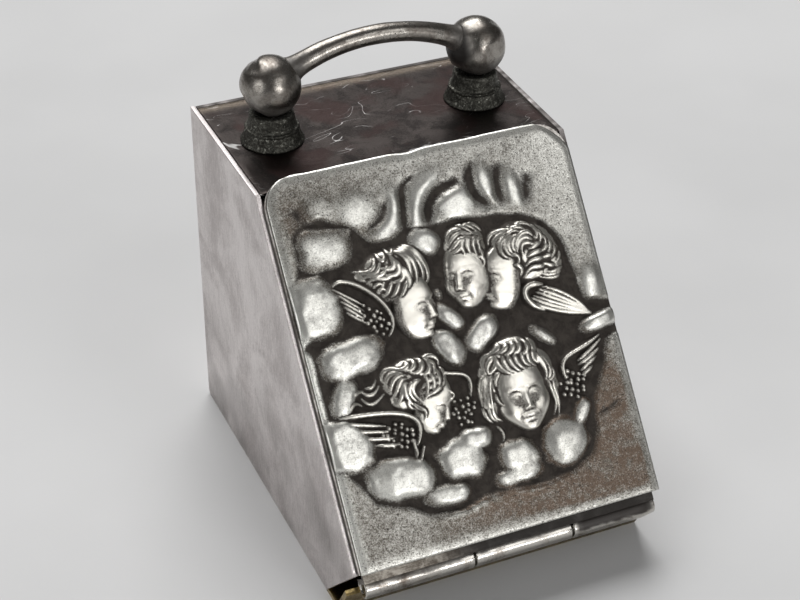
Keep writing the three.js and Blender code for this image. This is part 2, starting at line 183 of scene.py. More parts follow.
def bezier(points, steps=16):
    """Points along the cubic curve with four control points, given as eight numbers."""
    a, b, c, d = np.reshape(points, (4, 2))
    t = np.linspace(0, 1, steps)[:, None]
    return (1 - t) ** 3 * a + 3 * t * (1 - t) ** 2 * b + 3 * t * t * (1 - t) * c + t**3 * d


def beside(path, px, ps):
    """Signed distance to a path, and the share of its length at the nearest point."""
    nearest = np.full(px.shape, np.inf)
    side, share = np.zeros(px.shape), np.zeros(px.shape)
    count = len(path) - 1
    for k in range(count):
        start, step = path[k], path[k + 1] - path[k]
        dx, ds = px - start[0], ps - start[1]
        t = np.clip((dx * step[0] + ds * step[1]) / (step @ step), 0, 1)
        dx, ds = dx - t * step[0], ds - t * step[1]
        distance = np.hypot(dx, ds)
        closer = distance < nearest
        nearest = np.where(closer, distance, nearest)
        side = np.where(closer, np.sign(step[0] * ds - step[1] * dx) * distance, side)
        share = np.where(closer, (k + t) / count, share)
    return side, share


def near_path(path, reach):
    """The canvas area round a path, and each point's place beside the path."""
    middle = (path.min(0) + path.max(0)) / 2
    area = window(middle[0], middle[1], np.abs(path - middle).max() + reach)
    return area, *beside(path, X[area], S[area])


def stamp(figure, area, height, inside, grime_and_shade):
    """Puts a polished shape on a figure, where it is the highest thing so far.

    A figure holds three layers: height, grime with the faces' painted shade, and polish.
    """
    wins = inside & (height > figure[0][area])
    for layer, values in zip(figure, (height, grime_and_shade, 1)):
        layer[area] = np.where(wins, values, layer[area])


def ridge(figure, base, path, width, rise, tips=(0.3, 0.5)):
    """Raises a flat-topped ridge, clean on top and dark along its sides, along a path.

    The tips are the shares of its length that taper.
    """
    area, side, share = near_path(path, width)
    swell = np.clip(np.minimum((share + 0.04) / tips[0], (1.04 - share) / tips[1]), 0, 1) ** 0.6
    across = np.abs(side) / (width * swell / 2 + 1e-6)
    height = base[area] + rise * np.sqrt(swell) * np.clip(1 - across * across, 0, 1) ** 0.45
    stamp(figure, area, height, across < 1, smooth(across, *LOCK_EDGE))


def crease(z, path, width, depth):
    """Presses a soft groove along a path, or raises a soft band where the depth is negative."""
    area, side, share = near_path(path, 2 * width)
    ends = smooth(share, -0.05, 0.30) * smooth(1 - share, -0.05, 0.30)
    ragged = 1 + 0.25 * noise(X[area], S[area], 0.5, 71)
    z[area] -= depth * ends * np.exp(-((side / (0.5 * width * ragged)) ** 2))


def row(figure, base, first, last, count, width, rise, seed, tips=(0.22, 0.6)):
    """Locks of hair or feathers laid side by side, from one curve to another."""
    draw = np.random.default_rng(seed)
    first, last = np.array(first), np.array(last)
    for k in range(count):
        share = k / max(count - 1, 1)
        path = bezier(first * (1 - share) + last * share + draw.normal(0, 0.05, 8))
        size, height = draw.uniform(0.85, 1.15), draw.uniform(0.7, 1.1)
        ridge(figure, base, path, width * size, rise * height, tips)


def studs(figure, x, s, half_width, half_height, turn, seed):
    """Small round studs scattered over an oval patch."""
    draw = np.random.default_rng(seed)
    angle = math.radians(turn)
    for v in np.arange(-half_height, half_height, 0.9 * STUD_SPACING):
        for u in np.arange(-half_width, half_width, STUD_SPACING):
            du = u + draw.uniform(-STUD_WANDER, STUD_WANDER)
            dv = v + draw.uniform(-STUD_WANDER, STUD_WANDER)
            if math.hypot(du / half_width, dv / half_height) > 1:
                continue
            stud_x = x + du * math.cos(angle) - dv * math.sin(angle)
            stud_s = s + du * math.sin(angle) + dv * math.cos(angle)
            size = STUD_RADIUS * draw.uniform(0.75, 1.2)
            area = window(stud_x, stud_s, size)
            r = np.hypot(X[area] - stud_x, S[area] - stud_s) / size
            cap = STUD_BASE + STUD_RISE * np.clip(1 - r * r, 0, 1) ** 0.5
            stamp(figure, area, cap, r < 1, smooth(r, *LOCK_EDGE))


# The recessed field behind the figures: its corners, clockwise from the top left.
FIELD = [
    (-12.9, 4.2), (-10.2, 3.3), (-7.6, 4.6), (-6.2, 6.2), (-4.2, 6.5), (-2.9, 5.7), (-0.2, 6.1),
    (2.0, 5.9), (4.2, 6.2), (6.5, 6.3), (8.6, 6.8), (10.4, 7.9), (11.6, 9.8), (12.0, 12.6),
    (12.3, 15.6), (14.9, 16.2), (14.9, 19.2), (13.3, 19.5), (12.4, 22.0), (10.7, 24.4),
    (10.4, 26.8), (9.3, 29.2), (6.6, 30.2), (4.0, 30.5), (1.2, 30.1), (-1.4, 30.2), (-4.0, 30.9),
    (-7.0, 30.6), (-8.6, 29.4), (-11.4, 28.5), (-12.6, 26.2), (-13.6, 25.0), (-13.4, 21.2),
    (-13.9, 20.2), (-13.8, 14.6), (-14.7, 14.0), (-13.0, 13.2), (-12.9, 8.8), (-14.2, 8.2),
    (-13.0, 7.7),
]

# Clouds on the field: across, down, half width, half height, turn, rise.
CLOUDS = [
    (-10.3, 6.0, 2.7, 2.0, 0, 0.24), (-12.8, 10.9, 2.7, 2.9, 0, 0.34),
    (-10.5, 15.7, 3.2, 1.7, -8, 0.38), (-12.0, 18.8, 1.1, 2.0, 28, 0.3),
    (-1.2, 7.3, 1.6, 1.1, 30, 0.26), (-0.8, 14.2, 1.6, 0.85, 48, 0.3),
    (-1.4, 16.8, 1.9, 1.2, 58, 0.36), (1.7, 16.4, 2.0, 1.1, -35, 0.36),
    (-1.2, 12.1, 0.35, 0.45, 0, 0.14), (13.3, 17.8, 2.3, 0.8, -10, 0.3),
    (7.4, 17.8, 1.5, 0.6, 42, 0.16), (-12.9, 23.1, 2.7, 2.2, 32, 0.38),
    (-8.9, 26.9, 3.2, 1.9, 4, 0.42), (-3.0, 26.6, 2.3, 1.9, -6, 0.42),
    (-1.3, 25.1, 1.6, 1.0, 8, 0.38), (-5.0, 29.3, 2.3, 1.0, 4, 0.32),
    (2.3, 27.6, 2.0, 1.5, -4, 0.34), (1.9, 29.2, 2.4, 0.9, -6, 0.26),
    (7.0, 27.4, 2.3, 2.3, -38, 0.4), (9.3, 25.3, 1.4, 0.8, -50, 0.24),
]

# Soft swellings of the clouds along the top, which grow out of the margin.
SWELLS = [
    (-10.0, 2.6, 1.5, 1.3, 0, 0.14), (-6.6, 3.4, 2.2, 1.8, 0, 0.19),
    (2.6, 4.6, 2.0, 1.6, 0, 0.24), (5.7, 3.4, 0.9, 2.0, -8, 0.22),
    (8.1, 4.3, 0.9, 2.0, -12, 0.23), (5.0, 6.3, 0.8, 0.3, 0, 0.14),
    (13.3, 14.2, 1.0, 1.6, 6, 0.28),
]

# Grooves between the clouds along the top, and crescents that stand up: curve, width, depth.
CREASES = [
    ((-12.4, 1.2, -12.0, 2.6, -11.6, 4.0, -11.2, 5.2), 1.5, 0.17),
    ((-3.9, 1.4, -2.4, 3.6, -3.4, 5.8, -6.5, 6.1), 1.6, -0.24),
    ((-3.7, 2.2, -4.0, 4.2, -4.9, 5.0, -6.9, 5.3), 0.7, 0.2),
    ((-2.0, 1.7, -2.2, 3.0, -2.5, 4.4, -2.7, 6.4), 0.75, 0.4),
    ((-2.1, 2.4, -1.8, 1.8, -1.3, 1.6, -0.6, 1.3), 0.45, 0.24),
    ((2.3, 1.5, -0.5, 2.0, -1.9, 4.0, -1.4, 6.6), 1.5, -0.26),
    ((-0.3, 6.6, -0.6, 3.8, 1.2, 2.5, 4.1, 2.8), 1.0, 0.44),
    ((5.2, 0.8, 4.0, 2.8, 4.0, 4.8, 6.5, 5.6), 0.9, 0.38),
    ((7.8, 1.5, 7.1, 2.6, 6.7, 4.0, 6.9, 5.8), 1.1, 0.28),
    ((10.2, 2.7, 9.8, 3.8, 9.4, 4.8, 9.1, 6.2), 0.95, 0.2),
    ((10.2, 25.8, 11.4, 26.0, 12.6, 25.4, 13.6, 24.8), 0.5, 0.13),
]

# The raised lower lip of the field.
LIPS = [
    ((-7.4, 31.0, -4.8, 31.6, -2.6, 30.7, -0.2, 30.6), 0.7, 0.1),
    ((0.6, 30.6, 2.2, 30.8, 3.8, 31.1, 5.4, 30.8), 0.6, 0.1),
]


def inside(corners):
    """1 inside a polygon and 0 outside it."""
    crossings = np.zeros(X.shape, int)
    for (x0, s0), (x1, s1) in zip(corners, corners[1:] + corners[:1]):
        spans = (S >= min(s0, s1)) & (S < max(s0, s1))
        if s0 != s1:
            crossings += spans & (X < x0 + (S - s0) * (x1 - x0) / (s1 - s0))
    return (crossings % 2).astype(float)


def ground():
    """The margin, the recessed field and the soft clouds along the top."""
    field = blur(inside(FIELD), 0.32) + 0.12 * noise(X, S, 0.9, 77) * smooth(S, 5, 7)
    z = FLOOR * smooth(field, 0.25, 0.75)
    for *place_and_size, rise in SWELLS:
        shape = 1 - np.clip(oval(*place_and_size), 0, 1.4) / 1.4
        z = z + rise * smooth(shape, 0, 0.8) * smooth(z, FLOOR, 0)
    for curve, width, depth in CREASES:
        crease(z, bezier(curve, 24), width, depth)
    lips = np.zeros((3, *X.shape))
    for curve, width, rise in LIPS:
        ridge(lips, 0 * X, bezier(curve, 24), width, rise, (0.4, 0.4))
    return np.maximum(z, FLOOR) + blur(lips[0], 0.12) * (1 + 0.5 * noise(X, S, 0.45, 79))


def clouds(z):
    """Rounded clouds that stand on the field."""
    for k, (*place_and_size, rise) in enumerate(CLOUDS):
        ragged = 0.95 + 0.10 * noise(X, S, 1.5, 40 + 3 * k) + 0.06 * noise(X, S, 0.6, 41 + 3 * k)
        r = oval(*place_and_size, power=2.5) * ragged
        uneven = 1 + 0.18 * noise(X, S, 1.6, 42 + 3 * k) + 0.04 * noise(X, S, 0.6, 90 + k)
        body = np.clip(1 - np.clip(r, 0, 1) ** 3.0, 0, 1) ** 0.7 * uneven
        z = np.where(r < 1, np.maximum(z, FLOOR + (rise - FLOOR) * body), z)
    return blur(z, 0.09)


# Rounded features of a plain child's face: name, push outwards, then across, up, half width and
# half height. The head's half height is 1, and each feature stands on both sides.
FEATURES = (
    ("brow", 0.050, 0, 0.40, 0.45, 0.26),
    ("root of the nose", -0.030, 0, 0.06, 0.12, 0.09),
    ("brow ridge", 0.034, 0.27, 0.155, 0.19, 0.045),
    ("eyeball", 0.095, 0.27, -0.060, 0.110, 0.080),
    ("eye socket", -0.090, 0.26, -0.04, 0.16, 0.105),
    ("cheek", 0.085, 0.37, -0.36, 0.19, 0.20),
    ("tip of the nose", 0.060, 0, -0.355, 0.072, 0.060),
    ("wing of the nose", 0.055, 0.090, -0.385, 0.045, 0.042),
    ("nostril", -0.055, 0.058, -0.445, 0.038, 0.022),
    ("mouth", 0.060, 0, -0.60, 0.19, 0.11),
    ("upper lip", 0.052, 0.058, -0.560, 0.078, 0.028),
    ("lower lip", 0.064, 0, -0.665, 0.092, 0.036),
    ("line of the mouth", -0.080, 0, -0.612, 0.130, 0.016),
    ("corner of the mouth", -0.028, 0.158, -0.615, 0.03, 0.03),
    ("hollow under the lip", -0.048, 0, -0.745, 0.13, 0.035),
    ("chin", 0.085, 0, -0.880, 0.18, 0.11),
)

# Painted shade that lies on the face, in the same form.
FACE_SHADES = (
    ("eye", 1.5, 0.26, -0.02, 0.19, 0.14),
    ("pupil left clean", -1.3, 0.27, -0.070, 0.07, 0.030),
    ("under the eye", 1.1, 0.22, -0.24, 0.14, 0.10),
    ("beside the nose", 1.2, 0.14, -0.34, 0.05, 0.16),
    ("nostrils", 1.2, 0.05, -0.46, 0.09, 0.035),
    ("line of the mouth", 1.4, 0, -0.612, 0.16, 0.030),
    ("under the lip", 1.1, 0, -0.755, 0.17, 0.050),
    ("fold of the cheek", 1.0, 0.24, -0.60, 0.07, 0.16),
)

HEAD_COLUMNS, HEAD_ROWS = 900, 520
HEAD_HALF_WIDTH, HEAD_HALF_DEPTH = 0.66, 0.78
EYE_ACROSS, EYE_HALF_LENGTH = 0.27, 0.155


def spots(table, x, y):
    """Sum of the soft spots in a table at points of the face."""
    total = np.zeros(x.shape)
    for _, push, across, up, half_width, half_height in table:
        total += push * np.exp(-(((np.abs(x) - across) / half_width) ** 2) - ((y - up) / half_height) ** 2)
    return total


def child_head():
    """Points of one plain child's head: half height 1, X to its left, Y up and Z forward."""
    t = np.linspace(-1, 1, HEAD_COLUMNS)[None, :]
    azimuth = math.pi * (0.45 * t + 0.55 * t**3)
    height = np.linspace(-math.pi / 2, math.pi / 2, HEAD_ROWS)[:, None]
    nx, nz = np.sin(azimuth) * np.cos(height), np.cos(azimuth) * np.cos(height)
    y = np.sin(height) + 0 * azimuth
    jaw = smooth(-y, 0.05, 1.0)
    cheek_width = 1 + 0.16 * np.sin(math.pi * np.clip(-y, 0, 1)) ** 2
    x = HEAD_HALF_WIDTH * nx * cheek_width * (1 - 0.10 * jaw)
    forward = np.cos(azimuth) * np.cos(height) ** (1 - 0.45 * jaw)
    z = HEAD_HALF_DEPTH * np.where(nz > 0, forward, nz) + 0.02 * jaw
    z = np.where(nz < 0, z * (1.15 - 0.60 * jaw), z)

    def line(up, half_height):
        return np.exp(-(((y - up) / half_height) ** 2))

    along_eye = (np.abs(x) - EYE_ACROSS) / EYE_HALF_LENGTH
    on_eye = np.clip(1 - along_eye**4, 0, 1)
    upper_lid = -0.060 + 0.075 * (1 - along_eye**2)
    lower_lid = -0.075 - 0.045 * (1 - along_eye**2)
    lids = 0.038 * line(upper_lid, 0.018) - 0.042 * line(upper_lid + 0.05, 0.018)
    lids += 0.024 * line(lower_lid, 0.018)
    bridge = smooth(y, -0.43, -0.34) * (1 - smooth(y, -0.34, 0.20)) * np.exp(-((x / 0.072) ** 2))
    front = smooth(nz, -0.05, 0.30)
    out = (spots(FEATURES, x, y) + on_eye * lids + 0.115 * bridge) * front
    ear = np.exp(-(((z + 0.02) / 0.10) ** 2) - ((y + 0.10) / 0.17) ** 2)
    dish = np.exp(-((z / 0.05) ** 2) - ((y + 0.07) / 0.10) ** 2)
    out += smooth(np.abs(x), 0.46, 0.66) * (0.11 * ear - 0.07 * dish)
    points = np.stack([x + nx * out, y + 0.3 * y * out, z + nz * out + 0.35 * out * front], -1)
    # Painted shade on the face: the table's spots and the flanks that turn away, kept off the upper lids.
    dark = spots(FACE_SHADES, x, y) + 1.2 * smooth(-z, -0.36, -0.10) - 1.6 * on_eye * line(upper_lid, 0.035)
    shown = (z > 0.02) | (y > 0.25)
    return points[shown], FACE_PAINTED_SHADE * np.clip(dark, 0, 1)[shown]


def turned(yaw, pitch, roll):
    """Matrix that turns a head to its left, bows it and tips it sideways."""
    a, b, c = np.radians([yaw, pitch, roll])
    yaw_part = [[np.cos(a), 0, np.sin(a)], [0, 1, 0], [-np.sin(a), 0, np.cos(a)]]
    pitch_part = [[1, 0, 0], [0, np.cos(b), -np.sin(b)], [0, np.sin(b), np.cos(b)]]
    roll_part = [[np.cos(c), np.sin(c), 0], [-np.sin(c), np.cos(c), 0], [0, 0, 1]]
    return np.array(roll_part) @ np.array(pitch_part) @ np.array(yaw_part)


# Heads: across, down, half height, yaw, pitch, roll.
HEADS = [
    (-4.2, 12.3, 3.2, 48, 10, 0), (2.1, 10.7, 3.2, -30, 6, 4), (5.9, 11.8, 3.2, -66, 10, 14),
    (-4.7, 20.7, 2.9, 60, 18, 24), (4.05, 22.1, 3.6, 2, 4, -3),
]


def heads(figure):
    """Presses the heads into the canvas, each as the highest of its points."""
    points, dark = child_head()
    for x, s, size, yaw, pitch, roll in HEADS:
        placed = points @ turned(yaw, pitch, roll).T * size
        order = np.argsort(placed[:, 2])
        order = order[placed[order, 2] > -0.25 * size]
        placed = placed[order]
        column = np.round((placed[:, 0] + x - CANVAS_X[0]) / PITCH).astype(int)
        line = np.round((s - placed[:, 1] - CANVAS_S[0]) / PITCH).astype(int)
        height = FACE_LIFT + FACE_DEPTH * placed[:, 2]
        shown = height > figure[0][line, column]
        # The second layer takes the face's painted shade.
        for layer, values in zip(figure, (height, dark[order], np.ones(len(order)))):
            layer[line[shown], column[shown]] = values[shown]
    for layer in figure:
        layer[:] = blur(layer, 0.045)


# Masses of hair under the locks: across, down, half width, half height, turn, rise.
HAIR_MASSES = [
    (-4.7, 9.35, 3.4, 2.35, 0, 0.44), (-7.0, 9.2, 1.5, 0.9, 15, 0.2),
    (-5.3, 10.9, 1.7, 1.1, 0, 0.36), (2.3, 8.45, 2.2, 2.15, 10, 0.42),
    (7.85, 10.1, 3.5, 2.9, 10, 0.44), (9.7, 11.6, 1.6, 1.6, 0, 0.26),
    (-5.6, 18.7, 3.0, 2.0, -8, 0.42), (-6.7, 20.0, 1.4, 1.4, 0, 0.26),
    (-3.9, 19.4, 1.5, 1.2, -20, 0.42), (4.1, 18.95, 2.9, 1.8, 0, 0.48),
    (1.1, 21.3, 1.0, 2.9, 5, 0.28), (6.85, 21.0, 0.9, 2.4, -8, 0.28),
]

# Rows of locks: count, width, first curve, last curve.
HAIR = [
    # first head: swept back in waves from the brow, with loose ends behind
    (4, 0.75, (-4.3, 7.5, -3.2, 7.7, -3.2, 9.2, -3.5, 10.6),
     (-3.3, 7.2, -2.2, 7.8, -0.8, 10.3, -2.2, 11.0)),
    (4, 0.71, (-4.3, 8.9, -3.4, 9.7, -3.3, 11.3, -5.2, 10.8),
     (-4.8, 7.8, -4.2, 8.9, -5.0, 9.4, -6.4, 8.4)),
    (4, 0.5, (-5.0, 9.3, -5.8, 10.3, -6.7, 8.9, -7.5, 9.8),
     (-6.3, 7.6, -6.6, 9.2, -7.4, 8.7, -8.6, 8.4)),
    (2, 0.48, (-6.0, 7.4, -6.0, 8.4, -5.3, 8.4, -5.3, 7.5),
     (-5.0, 7.2, -4.9, 7.8, -4.5, 7.7, -4.4, 7.2)),
    (4, 0.5, (-3.9, 10.2, -4.2, 10.9, -4.6, 11.4, -5.0, 11.6),
     (-6.0, 10.0, -6.4, 10.6, -6.6, 10.9, -7.0, 10.9)),
    (2, 0.41, (-7.0, 10.2, -6.6, 9.9, -6.4, 9.9, -6.0, 10.2),
     (-6.8, 10.9, -6.5, 10.4, -6.1, 10.4, -5.8, 10.9)),
    # second head: short waves combed to both sides of the brow
    (4, 0.59, (2.4, 6.9, 1.2, 6.6, 0.6, 7.4, 0.7, 8.1),
     (2.0, 8.0, 1.8, 8.6, 1.2, 9.0, 0.6, 8.9)),
    (3, 0.57, (2.0, 6.6, 2.5, 6.5, 2.9, 7.0, 3.4, 7.5),
     (3.0, 6.6, 3.5, 6.6, 4.1, 7.0, 4.3, 7.5)),
    (3, 0.71, (2.4, 7.7, 1.6, 8.0, 1.8, 8.9, 2.1, 9.2),
     (3.6, 7.8, 2.9, 7.9, 2.9, 8.8, 3.1, 9.4)),
    (4, 0.48, (4.1, 8.1, 3.4, 8.0, 3.4, 8.6, 3.6, 9.0),
     (3.2, 9.7, 3.8, 9.6, 3.8, 10.3, 3.4, 10.6)),
    # third head: short curls all over
    (4, 0.59, (6.8, 7.9, 5.5, 7.7, 4.7, 7.9, 4.6, 8.8),
     (6.2, 8.5, 5.1, 9.0, 5.2, 10.2, 6.0, 10.5)),
    (3, 0.66, (6.4, 8.4, 5.7, 8.8, 5.7, 9.8, 6.3, 10.3),
     (7.3, 8.5, 6.7, 8.9, 6.4, 9.6, 6.9, 10.1)),
    (3, 0.5, (6.4, 8.4, 6.8, 8.0, 7.3, 8.0, 7.7, 8.3),
     (7.4, 7.6, 8.0, 7.4, 8.7, 7.7, 9.0, 8.4)),
    (3, 0.66, (8.6, 9.7, 7.6, 9.2, 7.2, 9.5, 7.3, 10.4),
     (8.8, 8.9, 8.3, 8.0, 7.0, 8.5, 6.8, 9.9)),
    (6, 0.48, (8.9, 7.9, 9.3, 8.2, 9.4, 8.7, 9.1, 9.3),
     (11.1, 10.9, 11.0, 11.3, 10.7, 11.6, 10.3, 11.8)),
    (4, 0.64, (9.3, 9.8, 8.8, 9.7, 8.5, 10.2, 8.0, 10.0),
     (9.2, 11.7, 8.6, 12.0, 7.9, 11.2, 7.2, 12.3)),
    (3, 0.55, (10.1, 10.2, 9.8, 10.0, 9.6, 10.5, 9.2, 10.5),
     (10.2, 11.9, 9.8, 12.1, 9.5, 11.6, 9.1, 11.7)),
    (3, 0.48, (11.0, 12.2, 10.4, 12.4, 9.8, 12.7, 9.2, 12.3),
     (10.6, 12.9, 10.1, 13.2, 9.4, 13.1, 8.4, 12.7)),
    (2, 0.52, (6.3, 10.3, 6.9, 10.2, 7.1, 10.9, 6.6, 11.2),
     (6.4, 11.2, 7.0, 11.3, 7.1, 11.9, 6.7, 12.2)),
    # fourth head: bowed, the long locks falling forward and blown back
    (4, 0.68, (-5.8, 17.0, -5.6, 17.6, -6.3, 18.0, -7.3, 17.3),
     (-4.1, 17.1, -3.5, 17.9, -4.0, 19.1, -5.2, 18.4)),
    (3, 0.52, (-4.1, 17.1, -3.6, 16.9, -2.8, 17.3, -2.8, 18.0),
     (-3.7, 17.8, -3.1, 18.2, -3.4, 19.1, -4.4, 18.9)),
    (5, 0.62, (-6.5, 17.7, -7.8, 17.0, -8.6, 17.7, -8.3, 18.5),
     (-6.2, 18.9, -7.0, 18.9, -6.6, 20.2, -7.7, 20.5)),
    (3, 0.62, (-6.3, 18.9, -6.9, 19.8, -6.4, 20.3, -6.1, 21.0),
     (-5.0, 18.9, -5.9, 19.0, -6.2, 19.8, -5.4, 20.8)),
    (4, 0.5, (-2.8, 18.3, -2.5, 18.9, -2.7, 19.6, -3.4, 20.1),
     (-4.6, 18.5, -4.3, 19.3, -4.5, 20.1, -5.1, 20.7)),
    (3, 0.59, (-3.3, 19.0, -3.9, 19.2, -4.5, 19.2, -5.0, 19.7),
     (-3.3, 19.9, -3.7, 20.2, -4.2, 20.4, -4.9, 20.6)),
    (2, 0.48, (-6.3, 20.5, -6.7, 20.9, -6.3, 21.3, -6.0, 21.4),
     (-5.9, 20.9, -5.9, 21.7, -4.7, 21.2, -5.5, 22.5)),
    (3, 0.43, (-9.9, 18.5, -9.4, 18.7, -9.0, 18.5, -8.8, 18.0),
     (-10.5, 19.3, -9.9, 20.4, -9.2, 20.0, -8.3, 19.3)),
    (2, 0.48, (-11.0, 19.1, -10.8, 18.7, -10.4, 18.6, -10.1, 18.8),
     (-11.7, 20.1, -11.5, 19.5, -11.0, 19.5, -10.5, 19.9)),
    # fifth head: a fringe in two tiers, and long waves down both cheeks
    (7, 0.71, (2.3, 18.7, 2.2, 19.5, 2.6, 20.2, 3.3, 20.4),
     (6.1, 18.9, 5.7, 19.4, 6.0, 20.0, 6.5, 20.3)),
    (6, 0.75, (2.9, 17.6, 2.9, 17.9, 2.5, 18.3, 1.8, 18.3),
     (5.9, 17.8, 6.5, 18.6, 6.1, 19.2, 5.4, 19.2)),
    (3, 0.62, (2.0, 18.3, 1.1, 18.3, 0.8, 19.3, 1.2, 20.0),
     (2.3, 18.9, 2.1, 19.7, 1.8, 19.8, 1.5, 20.1)),
    (4, 0.52, (0.9, 20.0, 0.3, 20.5, 0.0, 21.3, 0.2, 22.6),
     (1.4, 20.3, 1.1, 21.0, 1.0, 21.9, 1.0, 22.9)),
    (2, 0.52, (1.6, 20.2, 1.3, 20.6, 1.3, 21.1, 1.5, 21.7),
     (2.4, 20.1, 1.9, 20.4, 1.8, 20.7, 1.8, 21.2)),
    (3, 0.46, (0.2, 22.8, 0.1, 23.5, 0.3, 24.0, 0.8, 24.3),
     (1.0, 22.8, 0.8, 23.6, 1.1, 24.1, 1.7, 24.3)),
    (2, 0.41, (1.5, 21.9, 1.4, 22.4, 1.7, 22.9, 2.1, 23.1),
     (1.1, 24.7, 1.5, 25.1, 1.6, 25.7, 1.2, 26.1)),
    (4, 0.57, (6.1, 19.3, 6.4, 20.2, 6.9, 20.8, 6.6, 21.7),
     (6.5, 18.9, 7.2, 19.5, 7.6, 20.2, 7.3, 21.0)),
    (2, 0.48, (7.4, 20.8, 7.6, 21.3, 7.4, 21.7, 6.9, 21.8),
     (7.6, 21.9, 7.5, 22.3, 7.6, 22.6, 7.6, 22.9)),
    (2, 0.55, (6.8, 21.9, 6.8, 23.0, 7.6, 23.7, 6.6, 25.0),
     (7.2, 22.0, 7.0, 22.6, 7.7, 23.6, 7.1, 25.0)),
]


def hair(figure):
    """Lays the rows of locks over soft rounded masses on the heads."""
    for *place_and_size, rise in HAIR_MASSES:
        r = oval(*place_and_size) * (1 + 0.05 * noise(X, S, 0.7, 93))
        height = FLOOR - 0.10 + (rise - FLOOR) * np.clip(1 - r**3, 0, 1) ** 0.6
        stamp(figure, ..., height, True, smooth(r, *HAIR_MASS_EDGE))
    base = blur(figure[0], 0.35) - 0.04
    for k, (count, width, first, last) in enumerate(HAIR):
        row(figure, base, first, last, count, width, HAIR_RISE, 100 + k)


# Wings: the leading edges (curve, width), the feathers (first, last, count, width) and the
# patch of small feathers near the root (across, down, half width, half height, turn).
WINGS = [
    ([((-10.5, 9.3, -9.4, 7.9, -4.2, 12.6, -6.6, 14.6), 0.5)],
     [((-10.5, 9.5, -10.0, 10.0, -9.0, 10.9, -8.3, 11.5),
       (-9.8, 11.7, -9.6, 12.1, -9.0, 12.6, -8.4, 13.1), 5, 0.36)],
     (-7.7, 12.9, 1.9, 0.95, 48)),
    ([((8.6, 13.4, 6.4, 12.6, 6.0, 14.6, 8.2, 15.7), 0.75)],
     [((6.9, 14.5, 8.2, 15.7, 10.4, 16.6, 12.6, 16.9),
       (8.6, 13.6, 10.0, 14.1, 11.6, 15.5, 12.5, 16.8), 6, 0.52)],
     (9.3, 14.4, 1.2, 0.4, 32)),
    ([((-12.9, 20.5, -9.0, 20.9, -4.4, 21.2, -6.6, 24.4), 0.58),
      ((-6.7, 23.9, -7.2, 24.4, -6.6, 24.8, -7.0, 25.4), 0.38),
      ((-6.0, 24.6, -6.3, 24.9, -6.4, 25.3, -6.6, 25.7), 0.28)],
     [((-12.9, 20.9, -11.8, 21.4, -10.4, 21.7, -9.0, 22.0),
       (-10.3, 23.5, -9.6, 23.8, -8.8, 23.9, -8.1, 23.9), 4, 0.46)],
     (-8.1, 23.3, 1.5, 1.2, 15)),
    ([((-2.8, 18.8, -1.6, 19.5, 0.2, 18.9, -0.7, 21.5), 0.42),
      ((-2.9, 20.2, -2.0, 21.0, -2.1, 21.1, -2.9, 21.4), 0.3)],
     [],
     (-1.6, 22.5, 1.2, 1.4, 0)),
    ([((8.5, 22.1, 8.0, 19.6, 10.0, 20.4, 12.8, 19.0), 0.5)],
     [((10.1, 20.8, 11.0, 20.4, 12.0, 20.0, 12.9, 19.4),
       (10.2, 22.2, 10.6, 22.0, 10.9, 21.9, 11.4, 21.6), 4, 0.5)],
     (9.1, 22.8, 1.3, 1.5, 20)),
]


def wings(figure):
    """Adds the wings: rimmed leading edges, long feathers and rows of small round ones."""
    base = np.full(X.shape, WING_BASE)
    for k, (edges, feathers, patch) in enumerate(WINGS):
        for curve, width in edges:
            ridge(figure, base, bezier(curve, 26), width, WING_EDGE_RISE, (0.15, 0.25))
        for first, last, count, width in feathers:
            row(figure, base, first, last, count, width, FEATHER_RISE, 160 + k, (0.3, 0.35))
        studs(figure, *patch, 60 + k)


def relief():
    """Height of the stamping over its margin, its grime with the faces' painted shade, and how well each
    point is polished.
    """
    plain = clouds(ground())
    uneven = 0.6 * noise(X, S, 0.35, 81) + 0.4 * noise(X, S, 0.16, 82)
    hollow = smooth(-plain + 0.08 * uneven, 0.03, 0.22)
    wide = 0.8 * smooth(blur(plain, 0.9) - plain + 0.06 * uneven, 0.03, 0.20)
    figure = np.stack([plain, 1 - (1 - hollow) * (1 - wide), 0 * plain])
    heads(figure)
    hair(figure)
    wings(figure)
    z = blur(figure[0], 0.03)
    near = 0.9 * smooth(blur(z, 0.35) - z, 0.02, 0.10)
    fine = 0.95 * smooth(blur(z, 0.12) - z, 0.005, 0.024)
    grime_and_shade = 1 - (1 - blur(figure[1], 0.03)) * (1 - near) * (1 - fine)
    z = z + 0.020 * noise(X, S, 2.5, 83) + 0.006 * noise(X, S, 0.3, 84)
    polish = np.clip(blur(figure[2], 0.03), 0, 1)
    grime_and_shade = grime_and_shade * (1 - polish) + smooth(grime_and_shade, 0.08, 0.62) * polish
    return z, np.clip(grime_and_shade, 0, 1), polish


# ---- meshes ----

SHEET_EDGE = 0.09
EDGE_STEPS = 4
SHEET_CELL = 0.45
ROUND_SEGMENTS = 72


def make_piece(name, points, faces, attributes=None):
    """A smooth-shaded mesh object from points in millimetres, with all its faces turned outwards."""
    mesh = bpy.data.meshes.new(name)
    mesh.from_pydata((np.asarray(points) * MM).tolist(), [], faces)
    mesh.validate()
    for key, values in (attributes or {}).items():
        layer = mesh.attributes.new(key, "FLOAT", "POINT")
        layer.data.foreach_set("value", np.asarray(values, np.float32).ravel())
    mesh.shade_smooth()
    piece = bpy.data.objects.new(name, mesh)
    bpy.context.scene.collection.objects.link(piece)
    cleaned = bmesh.new()
    cleaned.from_mesh(mesh)
    bmesh.ops.recalc_face_normals(cleaned, faces=cleaned.faces)
    cleaned.to_mesh(mesh)
    cleaned.free()
    return piece


